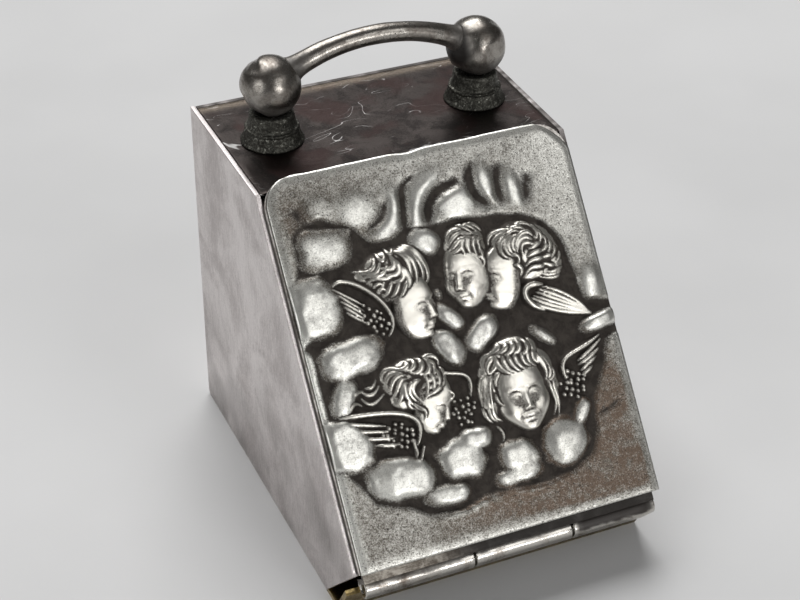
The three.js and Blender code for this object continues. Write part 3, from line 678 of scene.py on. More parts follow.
def grid_faces(rows, columns, wrap_rows=False, wrap_columns=False, flip=False):
    """Quads between the points of a grid stored row by row."""
    last_row = rows if wrap_rows else rows - 1
    last_column = columns if wrap_columns else columns - 1
    i, j = np.meshgrid(np.arange(last_row), np.arange(last_column), indexing="ij")
    below, right = (i + 1) % rows, (j + 1) % columns
    corners = [i * columns + j, i * columns + right, below * columns + right, below * columns + j]
    quads = np.stack([corner.ravel() for corner in corners], -1)
    return (quads[:, ::-1] if flip else quads).tolist()


def grid_border(rows, columns):
    """A grid's outer points, in order round it."""
    head = list(range(columns))
    right = [i * columns + columns - 1 for i in range(1, rows)]
    foot = [(rows - 1) * columns + j for j in range(columns - 2, -1, -1)]
    left = [i * columns for i in range(rows - 2, 0, -1)]
    return head + right + foot + left


def lumps(points, size, seed):
    """Smooth random values from -1 to 1 over points in space."""
    x, y, z = points[..., 0], points[..., 1], points[..., 2]
    return (noise(x + 0.7 * z, y, size, seed) + noise(y - 0.6 * x, z, size, seed + 1)) / 1.6


def dips(points, size, seed):
    """Smooth random values from 0 to 1 over points in space."""
    return 0.5 + 0.5 * lumps(points, size, seed)


def edge_ladder(length):
    """Distances along a sheet of this length, crowded towards both rounded edges."""
    curve = SHEET_EDGE * (1 - np.cos(np.linspace(0, math.pi / 2, EDGE_STEPS + 1)))
    inner = np.linspace(SHEET_EDGE, length - SHEET_EDGE, max(int(length / SHEET_CELL), 3) + 1)
    return np.concatenate([curve[:-1], inner, (length - curve[:-1])[::-1]])


def edge_fall(distance):
    """How far a rounded edge falls away at this distance from it."""
    inset = SHEET_EDGE - np.clip(distance, 0, SHEET_EDGE)
    return SHEET_EDGE - np.sqrt(np.clip(SHEET_EDGE**2 - inset**2, 0, None))


def sheet(name, start, end, heights, out, thickness, dent, seed, wear_and_painted_light, darker_below=0.0):
    """A sheet of metal with rounded edges, dented in its front.

    start and end give the two side edges at each height, out is the unit vector out of its
    front, and the points that they give lie on the sheet's middle. Edges are bright with wear
    where the edge setting is positive and dark with painted shade where it is negative, and the
    last setting darkens the lower part in patches.
    """
    low, high = heights
    rises = low + edge_ladder(high - low)
    width = max(np.linalg.norm(end(level) - start(level)) for level in np.linspace(low, high, 30))
    shares = edge_ladder(width) / width
    middle = np.array([[start(h) * (1 - t) + end(h) * t for t in shares] for h in rises])
    from_side = np.minimum(shares, 1 - shares)[None, :] * width
    from_end = np.minimum(rises - low, high - rises)[:, None]
    distance = np.minimum(from_side, from_end)
    lift = thickness / 2 - edge_fall(distance)
    hollow = dent * dips(middle, 4.0, seed) * smooth(distance, 0, 1.5)
    hollow = hollow + 0.35 * dent * dips(middle, 0.7, seed + 5) * smooth(distance, 0, 0.5)
    front = middle + (lift - hollow)[..., None] * out
    back = middle - (lift - 0.2 * hollow)[..., None] * out
    half = distance.size
    back_faces = np.array(grid_faces(*distance.shape, flip=True)) + half
    faces = grid_faces(*distance.shape) + back_faces.tolist()
    border = grid_border(*distance.shape)
    faces += [[b, a, a + half, b + half] for a, b in zip(border, border[1:] + border[:1])]
    points = np.concatenate([front.reshape(-1, 3), back.reshape(-1, 3)])
    at_edge = np.exp(-((distance / 0.25) ** 2)) * (0.75 + 0.4 * lumps(middle, 0.7, seed + 9))
    # The lower part is darker in patches.
    lower_patches = (1 - smooth(middle[..., 2], 0, 17)) * smooth(lumps(middle, 3.2, seed + 12), -0.3, 0.6)
    # Negative edge settings put painted shade along the edges.
    dirt_and_shade = np.clip(-1.4 * wear_and_painted_light * at_edge + darker_below * lower_patches, 0, 1)
    layers = {"wear_and_sheen": np.tile(max(wear_and_painted_light, 0) * at_edge.ravel(), 2), "grime_and_shade": np.tile(dirt_and_shade.ravel(), 2)}
    return make_piece(name, points, faces, layers)


def tube_piece(name, rings, attributes=None, closed=False):
    """A closed mesh through rings of points. The end rings are capped, or joined when closed."""
    count, segments = rings.shape[:2]
    faces = grid_faces(count, segments, wrap_rows=closed, wrap_columns=True)
    if not closed:
        faces.append(list(range(segments))[::-1])
        faces.append([(count - 1) * segments + k for k in range(segments)])
    return make_piece(name, rings.reshape(-1, 3), faces, attributes)


def turned_rings(profile, centre, axis, segments=ROUND_SEGMENTS):
    """Rings of points from a profile of (radius, distance along the axis) about a line."""
    radius, along = np.array(profile, float).T
    angles = np.linspace(0, TAU, segments, endpoint=False)
    side = {"x": (1, 2, 0), "z": (0, 1, 2)}[axis]
    rings = np.zeros((len(radius), segments, 3))
    rings[..., side[0]] = radius[:, None] * np.cos(angles)
    rings[..., side[1]] = radius[:, None] * np.sin(angles)
    rings[..., side[2]] = along[:, None]
    return rings + np.array(centre)


# ---- materials ----


class Graph:
    """Builds one material's nodes."""

    def __init__(self, name):
        self.material = bpy.data.materials.new(name)
        self.material.use_nodes = True
        self.tree = self.material.node_tree
        self.surface = self.tree.nodes["Principled BSDF"]
        self.place = self.add("ShaderNodeTexCoord").outputs["Object"]

    def add(self, kind, inputs=None, **settings):
        node = self.tree.nodes.new(kind)
        for key, value in settings.items():
            setattr(node, key, value)
        for key, value in (inputs or {}).items():
            self.put(node.inputs[key], value)
        return node

    def put(self, socket, value):
        if isinstance(value, bpy.types.NodeSocket):
            self.tree.links.new(value, socket)
        else:
            socket.default_value = value

    def axis(self, name):
        """One of the object's coordinates."""
        return self.add("ShaderNodeSeparateXYZ", {0: self.place}).outputs[name]

    def noise(self, size_mm, detail=4.0, roughness=0.55, stretch=None, distortion=0.0):
        vector = self.place
        if stretch:
            mapping = self.add("ShaderNodeMapping", {"Vector": self.place, "Scale": stretch})
            vector = mapping.outputs["Vector"]
        inputs = {"Vector": vector, "Scale": 1 / (size_mm * MM), "Detail": detail,
                  "Roughness": roughness, "Distortion": distortion}
        return self.add("ShaderNodeTexNoise", inputs).outputs["Fac"]

    def step(self, value, low, high, out_low=0.0, out_high=1.0):
        inputs = {"Value": value, "From Min": low, "From Max": high, "To Min": out_low, "To Max": out_high}
        return self.add("ShaderNodeMapRange", inputs, interpolation_type="SMOOTHSTEP").outputs["Result"]

    def math(self, operation, a, b, clamp=False):
        return self.add("ShaderNodeMath", {0: a, 1: b}, operation=operation, use_clamp=clamp).outputs[0]

    def times(self, a, b, clamp=False):
        return self.math("MULTIPLY", a, b, clamp)

    def plus(self, a, b, clamp=False):
        return self.math("ADD", a, b, clamp)

    def rest(self, share):
        """One less the share."""
        return self.math("SUBTRACT", 1.0, share)

    def highest(self, a, b):
        return self.math("MAXIMUM", a, b)

    def mix(self, share, a, b):
        mixer = self.add("ShaderNodeMix", data_type="RGBA")
        self.put(mixer.inputs["Factor"], share)
        for socket, colour in zip([s for s in mixer.inputs if s.type == "RGBA"], (a, b)):
            self.put(socket, colour if isinstance(colour, bpy.types.NodeSocket) else (*colour, 1))
        return [s for s in mixer.outputs if s.type == "RGBA"][0]

    def attribute(self, name):
        return self.add("ShaderNodeAttribute", attribute_name=name).outputs["Fac"]

    def bump(self, height, depth_mm):
        inputs = {"Height": height, "Distance": depth_mm * MM, "Strength": 1.0}
        return self.add("ShaderNodeBump", inputs).outputs["Normal"]

    def finish(self, colour, roughness, metallic, normal):
        self.put(self.surface.inputs["Base Color"], colour)
        self.put(self.surface.inputs["Roughness"], roughness)
        self.put(self.surface.inputs["Metallic"], metallic)
        self.put(self.surface.inputs["Normal"], normal)
        return self.material


SCRATCH = (0.42, 0.41, 0.40)
RED_PATCH = (0.040, 0.024, 0.022)
TAN_EDGE = (0.26, 0.215, 0.17)
TAN_EDGE_Y = 15.6, 17.4


def scuffed(g, metal, fine):
    """Adds thin bright scratches, reddish patches and a tan band along the back edge."""
    wavy = g.noise(4.5, 1.0, 0.5, stretch=(0.7, 1.5, 1.0), distortion=1.2)
    lines = g.math("ABSOLUTE", g.math("SUBTRACT", wavy, 0.5), 0.0)
    scuffs = g.times(g.step(lines, 0.007, 0.002), g.step(g.noise(3.1, 3.0, 0.6), 0.50, 0.58))
    metal = g.mix(g.times(scuffs, 0.9), metal, SCRATCH)
    metal = g.mix(g.step(g.noise(5.0, 3.0, 0.5), 0.50, 0.62, 0.0, 0.75), metal, RED_PATCH)
    along = g.plus(g.axis("Y"), g.times(fine, 1.5 * MM))
    band = g.step(along, TAN_EDGE_Y[0] * MM, TAN_EDGE_Y[1] * MM)
    return g.mix(g.times(band, 0.75), metal, TAN_EDGE)


def shaded(g, patches, dark_from_mm, dark_front_mm):
    """Painted shade beyond one place across the object, and only in front of another if it is given."""
    shade = g.step(g.axis("X"), dark_from_mm[0] * MM, dark_from_mm[1] * MM, 0.0, 0.97)
    if dark_front_mm:
        shade = g.times(shade, g.step(g.axis("Y"), dark_front_mm[1] * MM, dark_front_mm[0] * MM))
    return g.times(shade, g.step(patches, 0.2, 0.5, 0.85, 1.0))


def aged_silver(name, bright, dull, dark, patch_mm, dull_range, pit_share, roughness, streak=None,
                streak_strength=0.3, pit_mm=0.13, relief_mm=0.012, scratched=False,
                dark_from_mm=None, dark_front_mm=None):
    """Old silver: worn bright metal under a dull film in patches, with dark pits and scratches."""
    g = Graph(name)
    patches = g.noise(patch_mm, 6.0, 0.62, distortion=0.6)
    fine = g.noise(0.22, 3.0, 0.7)
    film = g.plus(g.step(patches, *dull_range), g.step(fine, 0.3, 0.75, -0.22, 0.22), clamp=True)
    if streak:
        lines = g.noise(0.12, 4.0, 0.7, stretch=streak)
        film = g.plus(film, g.step(lines, 0.3, 0.7, -streak_strength, streak_strength), clamp=True)
    wear_and_sheen = g.times(g.attribute("wear_and_sheen"), g.step(fine, 0.2, 0.6, 0.6, 1.15), clamp=True)
    film = g.times(film, g.rest(wear_and_sheen), clamp=True)
    pits = g.step(g.noise(pit_mm, 2.0, 0.5), pit_share, pit_share - 0.06)
    # The grime attribute brings dirt and, on some pieces, painted shade; dark_from_mm adds painted shade
    # beyond a place across the piece.
    grime_and_shade = g.highest(g.attribute("grime_and_shade"), g.times(pits, 0.85))
    if dark_from_mm:
        grime_and_shade = g.highest(grime_and_shade, shaded(g, patches, dark_from_mm, dark_front_mm))
    metal = g.mix(film, bright, dull)
    if scratched:
        metal = scuffed(g, metal, fine)
    rough = g.plus(g.step(film, 0, 1, *roughness), g.times(grime_and_shade, 0.2))
    grain = g.noise(0.10, 5.0, 0.75, stretch=streak or (1.0, 1.0, 1.0))
    height = g.plus(g.times(grain, 0.35), g.times(pits, -0.8))
    height = g.plus(height, g.times(g.noise(0.5, 5.0, 0.6), 0.9))
    metallic = g.step(grime_and_shade, 0, 1, 1.0, 0.25)
    return g.finish(g.mix(grime_and_shade, metal, dark), rough, metallic, g.bump(height, relief_mm))


CLEAN, CLEAN_FIGURE = (0.87, 0.865, 0.81), (0.74, 0.715, 0.65)
GREY_FILM, BROWN_FILM = (0.135, 0.120, 0.100), (0.145, 0.108, 0.082)
# Colours of the grime in the hollows, which also serve as the faces' painted shade.
SOOT_AND_SHADE, PALE_SOOT_AND_SHADE = (0.034, 0.028, 0.024), (0.064, 0.055, 0.047)


def embossed_silver():
    """The lid's face: polished high places, a grainy margin, dark grime in the hollows, painted shade on
    the faces and painted highlight on the edges.
    """
    g = Graph("embossed_silver")
    grime_and_shade, tarnish, polish = g.attribute("grime_and_shade"), g.attribute("tarnish"), g.attribute("polish")
    grain = g.noise(0.13, 4.0, 0.72)
    coarse = g.noise(1.1, 5.0, 0.65, distortion=0.4)
    bare = g.rest(polish)
    speck = g.step(g.noise(0.15, 2.0, 0.6), 0.42, 0.34)
    speck = g.times(speck, g.times(bare, g.step(tarnish, 0.1, 0.5, 0.2, 0.8)))
    loose = g.times(g.step(grain, 0.30, 0.70, -0.24, 0.24), g.step(tarnish, 0.0, 0.4, 0.4, 1.0))
    loose = g.plus(loose, g.times(g.step(g.noise(0.45, 3.0, 0.6), 0.3, 0.7, -0.08, 0.08), bare))
    film = g.plus(g.plus(tarnish, g.step(coarse, 0.3, 0.7, -0.08, 0.08)), loose)
    wear_and_painted_light = g.highest(g.attribute("wear_and_sheen"), g.times(polish, 0.9))
    film = g.times(film, g.rest(wear_and_painted_light), clamp=True)
    brown = g.times(g.step(coarse, 0.28, 0.56), g.step(tarnish, 0.84, 0.98))
    metal = g.mix(film, g.mix(polish, CLEAN, CLEAN_FIGURE), g.mix(brown, GREY_FILM, BROWN_FILM))
    half_dark = g.times(g.times(grime_and_shade, g.rest(grime_and_shade)), 4.0)
    dirt_and_shade = g.highest(grime_and_shade, speck)
    dirt_and_shade = g.plus(dirt_and_shade, g.times(g.step(grain, 0.35, 0.65, -0.35, 0.35), half_dark), clamp=True)
    colour = g.mix(dirt_and_shade, metal, g.mix(g.step(coarse, 0.35, 0.65), SOOT_AND_SHADE, PALE_SOOT_AND_SHADE))
    rough = g.plus(g.step(film, 0, 1, 0.34, 0.48), g.plus(g.times(dirt_and_shade, 0.22), g.times(polish, -0.06)))
    height = g.plus(g.times(grain, g.step(tarnish, 0, 0.5, 0.4, 1.0)), g.times(speck, -0.5))
    height = g.plus(height, g.times(g.noise(0.06, 2.0, 0.6), 0.3))
    g.put(g.surface.inputs["Specular IOR Level"], 0.25)
    return g.finish(colour, rough, g.step(dirt_and_shade, 0, 1, 1.0, 0.40), g.bump(height, 0.018))


def gilt(name, **extra):
    """Gilt silver, rubbed and browned."""
    return aged_silver(name, (0.42, 0.32, 0.14), (0.16, 0.12, 0.06), (0.03, 0.024, 0.012), 1.5,
                       (0.36, 0.72), 0.31, (0.28, 0.45), **extra)


def cover(piece, material):
    """Gives a piece its material."""
    piece.data.materials.clear()
    piece.data.materials.append(material)


PANEL = aged_silver("panel_silver", (0.74, 0.695, 0.68), (0.47, 0.43, 0.42), (0.06, 0.05, 0.045), 7.0,
                    (0.30, 0.75), 0.30, (0.34, 0.46), streak=(1.2, 1.2, 0.09), streak_strength=0.30)
TOP = aged_silver("top_silver", (0.062, 0.052, 0.048), (0.017, 0.014, 0.013), (0.007, 0.006, 0.006), 2.6,
                  (0.34, 0.62), 0.30, (0.30, 0.42), streak=(0.8, 0.8, 0.8), streak_strength=0.16,
                  scratched=True)
HANDLE = aged_silver("handle_silver", (0.36, 0.34, 0.31), (0.12, 0.104, 0.09), (0.02, 0.017, 0.015), 2.0,
                     (0.28, 0.72), 0.33, (0.25, 0.36), relief_mm=0.018)
COLLAR = aged_silver("collar_silver", (0.50, 0.50, 0.44), (0.060, 0.058, 0.050), (0.015, 0.014, 0.012),
                     0.35, (0.26, 0.44), 0.38, (0.36, 0.58), pit_mm=0.2, relief_mm=0.06)
HINGE = aged_silver("hinge_silver", (0.56, 0.54, 0.50), (0.19, 0.16, 0.135), (0.030, 0.024, 0.020), 3.0,
                    (0.42, 0.74), 0.27, (0.24, 0.38), streak=(0.12, 3.0, 3.0), streak_strength=0.25)
# The leaf's right part, in the gap under the lid, is darkened as painted shade.
LEAF = aged_silver("leaf_silver", (0.26, 0.24, 0.21), (0.10, 0.085, 0.07), (0.018, 0.014, 0.011), 2.0,
                   (0.30, 0.62), 0.29, (0.30, 0.44), streak=(0.12, 3.0, 3.0), dark_from_mm=(-9.0, -2.0))
# The backing plate's left edge is darkened as painted shade in the gap beside the side panel.
LID_BACK = aged_silver("lid_back_silver", (0.50, 0.48, 0.45), (0.20, 0.175, 0.16), (0.012, 0.010, 0.009),
                       2.0, (0.34, 0.7), 0.30, (0.30, 0.45), dark_from_mm=(-14.5, -14.75))
GILT = gilt("gilt_silver")
# The gilt toe is darkened as painted shade where it lies under the knuckles.
TOE = gilt("gilt_toe", dark_from_mm=(-13.0, -12.0), dark_front_mm=(-19.0, -17.5))
FACE = embossed_silver()


# ---- body ----

HEEL_RADIUS = 0.6
PANEL_DENT, TOP_DENT = 0.05, 0.03
SIDE_DARKER_BELOW = 0.42


def place(piece, body, material, node):
    """Covers a piece, fixes it to a body and lets it stand for its CAD node."""
    cover(piece, material)
    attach(piece, body)
    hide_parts(node)


def side_front(level):
    """Y of a side panel's front edge at a height."""
    heights = [0, SLOPE_FOOT[1], SLOPE_HEAD[1]]
    return float(np.interp(level, heights, [SIDE_TOE_Y, SLOPE_FOOT[0], SLOPE_HEAD[0]]))


def side_back(level, back_y):
    """Y of a side panel's back edge, which is rounded at the heel."""
    rise = min(max(HEEL_RADIUS - level, 0), HEEL_RADIUS)
    return back_y - HEEL_RADIUS + math.sqrt(HEEL_RADIUS**2 - rise**2)


def side_panel(name, side, seed, wear_and_painted_light):
    """The five-sided sheet on one side (-1 left, 1 right)."""
    low, high = box_mm(name)
    x = (low[0] + high[0]) / 2
    piece = sheet(
        name + "_sheet",
        lambda level: np.array([x, side_front(level), level]),
        lambda level: np.array([x, side_back(level, high[1]), level]),
        (low[2], high[2]), np.array([side, 0, 0]), high[0] - low[0], PANEL_DENT, seed, wear_and_painted_light, SIDE_DARKER_BELOW)
    place(piece, "body", PANEL, name)


def back_panel():
    """The upright sheet between the sides, with painted shade along its edges."""
    low, high = box_mm("back_panel")
    y = (low[1] + high[1]) / 2
    piece = sheet(
        "back_panel_sheet",
        lambda level: np.array([low[0], y, level]),
        lambda level: np.array([high[0], y, level]),
        (low[2], high[2]), np.array([0, 1, 0]), high[1] - low[1], PANEL_DENT, seed=31, wear_and_painted_light=-0.9)
    place(piece, "body", PANEL, "back_panel")


def top_plate():
    """The small flat top, which carries the handle."""
    low, high = box_mm("top_plate")
    z = (low[2] + high[2]) / 2
    piece = sheet(
        "top_plate_sheet",
        lambda level: np.array([low[0], level, z]),
        lambda level: np.array([high[0], level, z]),
        (low[1], high[1]), np.array([0, 0, 1]), high[2] - low[2], TOP_DENT, seed=41, wear_and_painted_light=0.3)
    place(piece, "body", TOP, "top_plate")


# ---- handle ----

BALL_RADIUS = 2.8
BALL_RINGS = 48
POLE_ANGLE = 0.03
BALL_DENT, BALL_UNEVENNESS = 0.16, 0.06
BAR_RADIUS = 0.95
BAR_SWELL, BAR_INSET, BAR_UNEVENNESS = 0.08, 0.03, 0.035
BAR_RINGS, BAR_SEGMENTS = 70, 40
BAR_ENTRY = 0.5
NECK_RADIUS = 1.3
NECK_REACH = 0.5
COLLAR_ROUGHNESS = 0.10

# A collar's outline, from its bore out and up: radius and height above its foot, then radius
# and height from its top.
COLLAR_FLANK = (
    (0.85, 0), (2.98, 0), (2.99, 0.12), (2.82, 0.34), (2.72, 0.6), (2.60, 1.0), (2.52, 1.22),
    (2.56, 1.34), (2.54, 1.46), (2.36, 1.52), (2.26, 1.66), (2.20, 2.0), (2.14, 2.5),
)
COLLAR_MOUTH = ((2.12, -0.1), (2.02, 0), (1.55, 0), (0.85, -0.5))


def ball(side, name):
    """A slightly battered ball, with painted shade over its lower half and dirt where the bar enters it."""
    low, high = box_mm("handle_ball_" + name)
    centre = (low + high) / 2
    latitudes = np.linspace(-math.pi / 2 + POLE_ANGLE, math.pi / 2 - POLE_ANGLE, BALL_RINGS)
    profile = [(BALL_RADIUS * math.cos(t), BALL_RADIUS * math.sin(t)) for t in latitudes]
    rings = turned_rings(profile, (0, 0, 0), "z")
    outward = rings / np.linalg.norm(rings, axis=-1, keepdims=True)
    own = rings + 9 * side
    dents = BALL_DENT * smooth(lumps(own, 1.7, 51), 0.05, 0.45) + BALL_UNEVENNESS * dips(rings, 0.8, 53)
    inwards, down = -side * outward[..., 0], -outward[..., 2]
    ragged = 0.25 * lumps(own, 1.3, 55)
    # Dirt where the bar enters, and painted shade over the lower half.
    grime_and_shade = np.maximum(smooth(inwards + ragged, 0.45, 0.90), 0.85 * smooth(down + ragged, 0.0, 0.7))
    rings = centre + rings - outward * dents[..., None]
    piece = tube_piece(f"handle_ball_{name}_round", rings, {"grime_and_shade": grime_and_shade})
    place(piece, "body", HANDLE, "handle_ball_" + name)
    return centre


def collar(name, centre):
    """A cone of two steps with a rough, half-cleaned solder seam at its foot."""
    low, high = box_mm("handle_collar_" + name)
    profile = [(radius, low[2] + rise) for radius, rise in COLLAR_FLANK]
    profile += [(radius, high[2] + rise) for radius, rise in COLLAR_MOUTH]
    axis = np.array([centre[0], centre[1], 0])
    rings = turned_rings(refined(profile, 3), axis, "z")
    outward = rings - axis
    outward[..., 2] = 0
    outward /= np.linalg.norm(outward, axis=-1, keepdims=True)
    rough = COLLAR_ROUGHNESS * dips(rings, 0.45, 61) + COLLAR_ROUGHNESS * dips(rings, 0.22, 63)
    piece = tube_piece(f"handle_collar_{name}_turned", rings - outward * rough[..., None], closed=True)
    place(piece, "body", COLLAR, "handle_collar_" + name)


def refined(profile, steps):
    """The profile with extra points between its corners."""
    fine = []
    for (r0, h0), (r1, h1) in zip(profile, profile[1:]):
        for k in range(steps):
            fine.append((r0 + (r1 - r0) * k / steps, h0 + (h1 - h0) * k / steps))
    return fine + [profile[-1]]


def handle_bar(left, right):
    """The arched bar, with a flared neck where it enters each ball."""
    apex = box_mm("handle_bar")[1][2] - BAR_RADIUS
    drop = apex - left[2]
    span = right[0]
    arc_radius = (span * span + drop * drop) / (2 * drop)
    end = math.asin(span / arc_radius) - 2 * math.asin((BALL_RADIUS - BAR_ENTRY) / (2 * arc_radius))
    angles = np.linspace(-end, end, BAR_RINGS)
    turns = np.linspace(0, TAU, BAR_SEGMENTS, endpoint=False)
    from_neck = (end - np.abs(angles)) * arc_radius
    radius = BAR_RADIUS + (NECK_RADIUS - BAR_RADIUS) * np.exp(-from_neck / NECK_REACH)
    radius = radius + BAR_SWELL * smooth(np.abs(angles), 0.2 * end, end) - BAR_INSET
    across = np.stack([np.sin(angles), 0 * angles, np.cos(angles)], -1)
    centre = np.stack([arc_radius * np.sin(angles), left[1] + 0 * angles,
                       apex - arc_radius * (1 - np.cos(angles))], -1)
    ring = np.cos(turns)[None, :, None] * across[:, None, :]
    ring = ring + np.sin(turns)[None, :, None] * np.array([0, 1, 0])
    rings = centre[:, None, :] + ring * radius[:, None, None]
    rings = rings - ring * BAR_UNEVENNESS * dips(rings, 1.1, 71)[..., None]
    # Painted shade along the underside, and dirt near the balls.
    under = smooth(-ring[..., 2] + 0.3 * lumps(rings, 0.9, 73), 0.1, 0.8)
    near_ends = smooth(-from_neck[:, None] + 1.2 * lumps(rings, 1.1, 75), -2.2, -0.2)
    piece = tube_piece("handle_bar_arched", rings, {"grime_and_shade": np.maximum(0.6 * under, 0.75 * near_ends)})
    place(piece, "body", HANDLE, "handle_bar")


# ---- hinge ----

KNUCKLE_RADIUS = 0.99
BORE_RADIUS = 0.5
KNUCKLE_SEGMENTS = 48
PINCH_LENGTH = 1.6


def knuckle(name, body, seed, dirt_and_shade, dirt_and_shade_from, pinch=0.0):
    """A rolled tube with worn ends and an upper part darkened by dirt and painted shade. Its right end can
    be pinched.
    """
    low, high = box_mm(name)
    start, end = low[0], high[0]
    length = start + edge_ladder(end - start)
    radius = KNUCKLE_RADIUS - edge_fall(np.minimum(length - start, end - length))
    profile = list(zip(radius, length)) + [(BORE_RADIUS, end), (BORE_RADIUS, start)]
    rings = turned_rings(profile, (0, HINGE_Y, HINGE_Z), "x", KNUCKLE_SEGMENTS)
    inward = np.array([0, HINGE_Y, HINGE_Z]) - rings
    inward[..., 0] = 0
    shrink = 0.015 * dips(rings, 1.4, seed) + pinch * smooth(rings[..., 0], end - PINCH_LENGTH, end)
    rings = rings + inward * shrink[..., None]
    ends = np.exp(-((np.minimum(rings[..., 0] - start, end - rings[..., 0]) / 0.35) ** 2))
    ragged = 0.20 * lumps(rings, 1.2, seed + 3) + 0.15 * lumps(rings, 0.35, seed + 5)
    # Dirt and painted shade over the upper part, under the lid's edge.
    grime_and_shade = dirt_and_shade * smooth(rings[..., 2] - HINGE_Z + ragged, dirt_and_shade_from, dirt_and_shade_from + 0.3) * (1 - ends)
    piece = tube_piece(name + "_rolled", rings, {"wear_and_sheen": ends, "grime_and_shade": grime_and_shade}, closed=True)
    place(piece, body, HINGE, name)


# ---- lid ----

FINE_CELL, COARSE_CELL = 0.093, 0.18
FIGURES_X, FIGURES_S = (-12.6, 13.0), (4.2, 26.6)
CORNER_RADIUS = 2.7
CHAMFER = 2.9
LEFT_GAP = 0.28
MARGIN_THICKNESS = 0.35
DEEPEST = -0.30
RIM_WIDTH = 0.9
RIM_DROP = 0.14
FOOT_DROP = 0.06
HEAD_DENT, HEAD_DENT_X, HEAD_DENT_HALF_WIDTH = 0.22, -0.6, 1.1
# The plaque's hidden underside; its dark values also darken the edge walls towards the bottom as painted
# shade in the gaps.
UNDERSIDE = {"grime_and_shade": 1.0, "polish": 0.0, "tarnish": 1.0, "wear_and_sheen": 0.0}


def rim(distance):
    """How far the edge of the plaque is turned down at this distance from it."""
    return RIM_DROP * (1 - smooth(distance, 0, RIM_WIDTH)) ** 1.4


def uneven_steps(low, high, fine_low, fine_high):
    """Places from low to high, closer together between fine_low and fine_high."""
    before = np.linspace(low, fine_low, round((fine_low - low) / COARSE_CELL), endpoint=False)
    middle = np.linspace(fine_low, fine_high, round((fine_high - fine_low) / FINE_CELL), endpoint=False)
    after = np.linspace(fine_high, high, round((high - fine_high) / COARSE_CELL) + 1)
    return np.concatenate([before, middle, after])


def sample(canvas, x, s):
    """Values of a canvas at points, by linear interpolation."""
    u = np.clip((x - CANVAS_X[0]) / PITCH, 0, len(CANVAS_X) - 1.001)
    v = np.clip((s - CANVAS_S[0]) / PITCH, 0, len(CANVAS_S) - 1.001)
    i, j = v.astype(int), u.astype(int)
    fv, fu = v - i, u - j
    top = canvas[i, j] * (1 - fu) + canvas[i, j + 1] * fu
    bottom = canvas[i + 1, j] * (1 - fu) + canvas[i + 1, j + 1] * fu
    return top * (1 - fv) + bottom * fv


def corner_inset(from_head, size, power):
    """How far the outline is drawn in at this distance from the head of the lid."""
    share = np.clip(1 - from_head / size, 0, 1)
    return size * (1 - np.clip(1 - share**power, 0, 1) ** (1 / power))


def tarnish(x, s, height, edge):
    """Dull film on the plaque: thick on the lower right of the margin, thin on what stands up."""
    film = 0.85 - 0.25 * smooth(x, -9, 0) * (1 - smooth(s, 5, 12))
    film -= 0.20 * smooth(x, 8, 13) * (1 - smooth(s, 9, 20))
    film += 0.16 * smooth(s, 17, 25) * smooth(x, -3, 8) - 0.08 * smooth(-x, 6, 11) * smooth(s, 24, 29)
    film += 0.08 * noise(x, s, 3.0, 17)
    film += 0.12 * smooth(s, 28, 31) * smooth(x, -8, -2)
    raised = smooth(height, 0.03, 0.20)
    return np.clip(film * (1 - 0.74 * raised) * smooth(edge, -0.9, 1.4), 0, 1)


def shine(x, s, from_left, open_edge):
    """Bare metal and painted highlight along the plaque's open edges, broadest low down on the left."""
    wander = 0.15 * noise(x, s, 1.2, 16)
    narrow = 0.65 * (1 - smooth(open_edge + wander, 0.0, 0.3))
    broad = 0.85 * (1 - smooth(from_left + wander, 0.2, 0.9)) * smooth(s, 5, 12)
    return np.maximum(narrow, broad)


def plaque_places():
    """Places over the plaque, across and down, and how far each is from its four edges."""
    columns = uneven_steps(-LID_HALF_WIDTH, LID_HALF_WIDTH, *FIGURES_X)
    rows = uneven_steps(CANVAS_S[0], SLOPE_TOP - LID_FOOT, *FIGURES_S)
    across, s = np.meshgrid(columns, rows)
    from_head, from_foot = s - CANVAS_S[0], s[-1] - s
    left = LID_HALF_WIDTH - LEFT_GAP - corner_inset(from_head, CORNER_RADIUS, 2.0)
    right = LID_HALF_WIDTH - corner_inset(from_head, CHAMFER, 1.35)
    x = np.where(across < 0, across * left / LID_HALF_WIDTH, across * right / LID_HALF_WIDTH)
    return x, s, x + left, right - x, from_head, from_foot


def round_corner(edge, x, from_head):
    """The distance from the plaque's edge, following its round corner at the top left."""
    beyond = np.hypot(np.minimum(x + LID_HALF_WIDTH - CORNER_RADIUS, 0),
                      np.minimum(from_head - CORNER_RADIUS, 0))
    at_corner = (x < 0) & (from_head < CORNER_RADIUS)
    return np.minimum(edge, np.where(at_corner, CORNER_RADIUS - beyond, edge))


def closed_below(rows, columns):
    """Faces of a grid with a ring of points under its border, which comes after the grid."""
    border = grid_border(rows, columns)
    first, total = rows * columns, len(border)
    faces = grid_faces(rows, columns)
    for k in range(total):
        after = (k + 1) % total
        faces.append([border[after], border[k], first + k, first + after])
    faces.append([first + k for k in range(total)])
    return faces, border


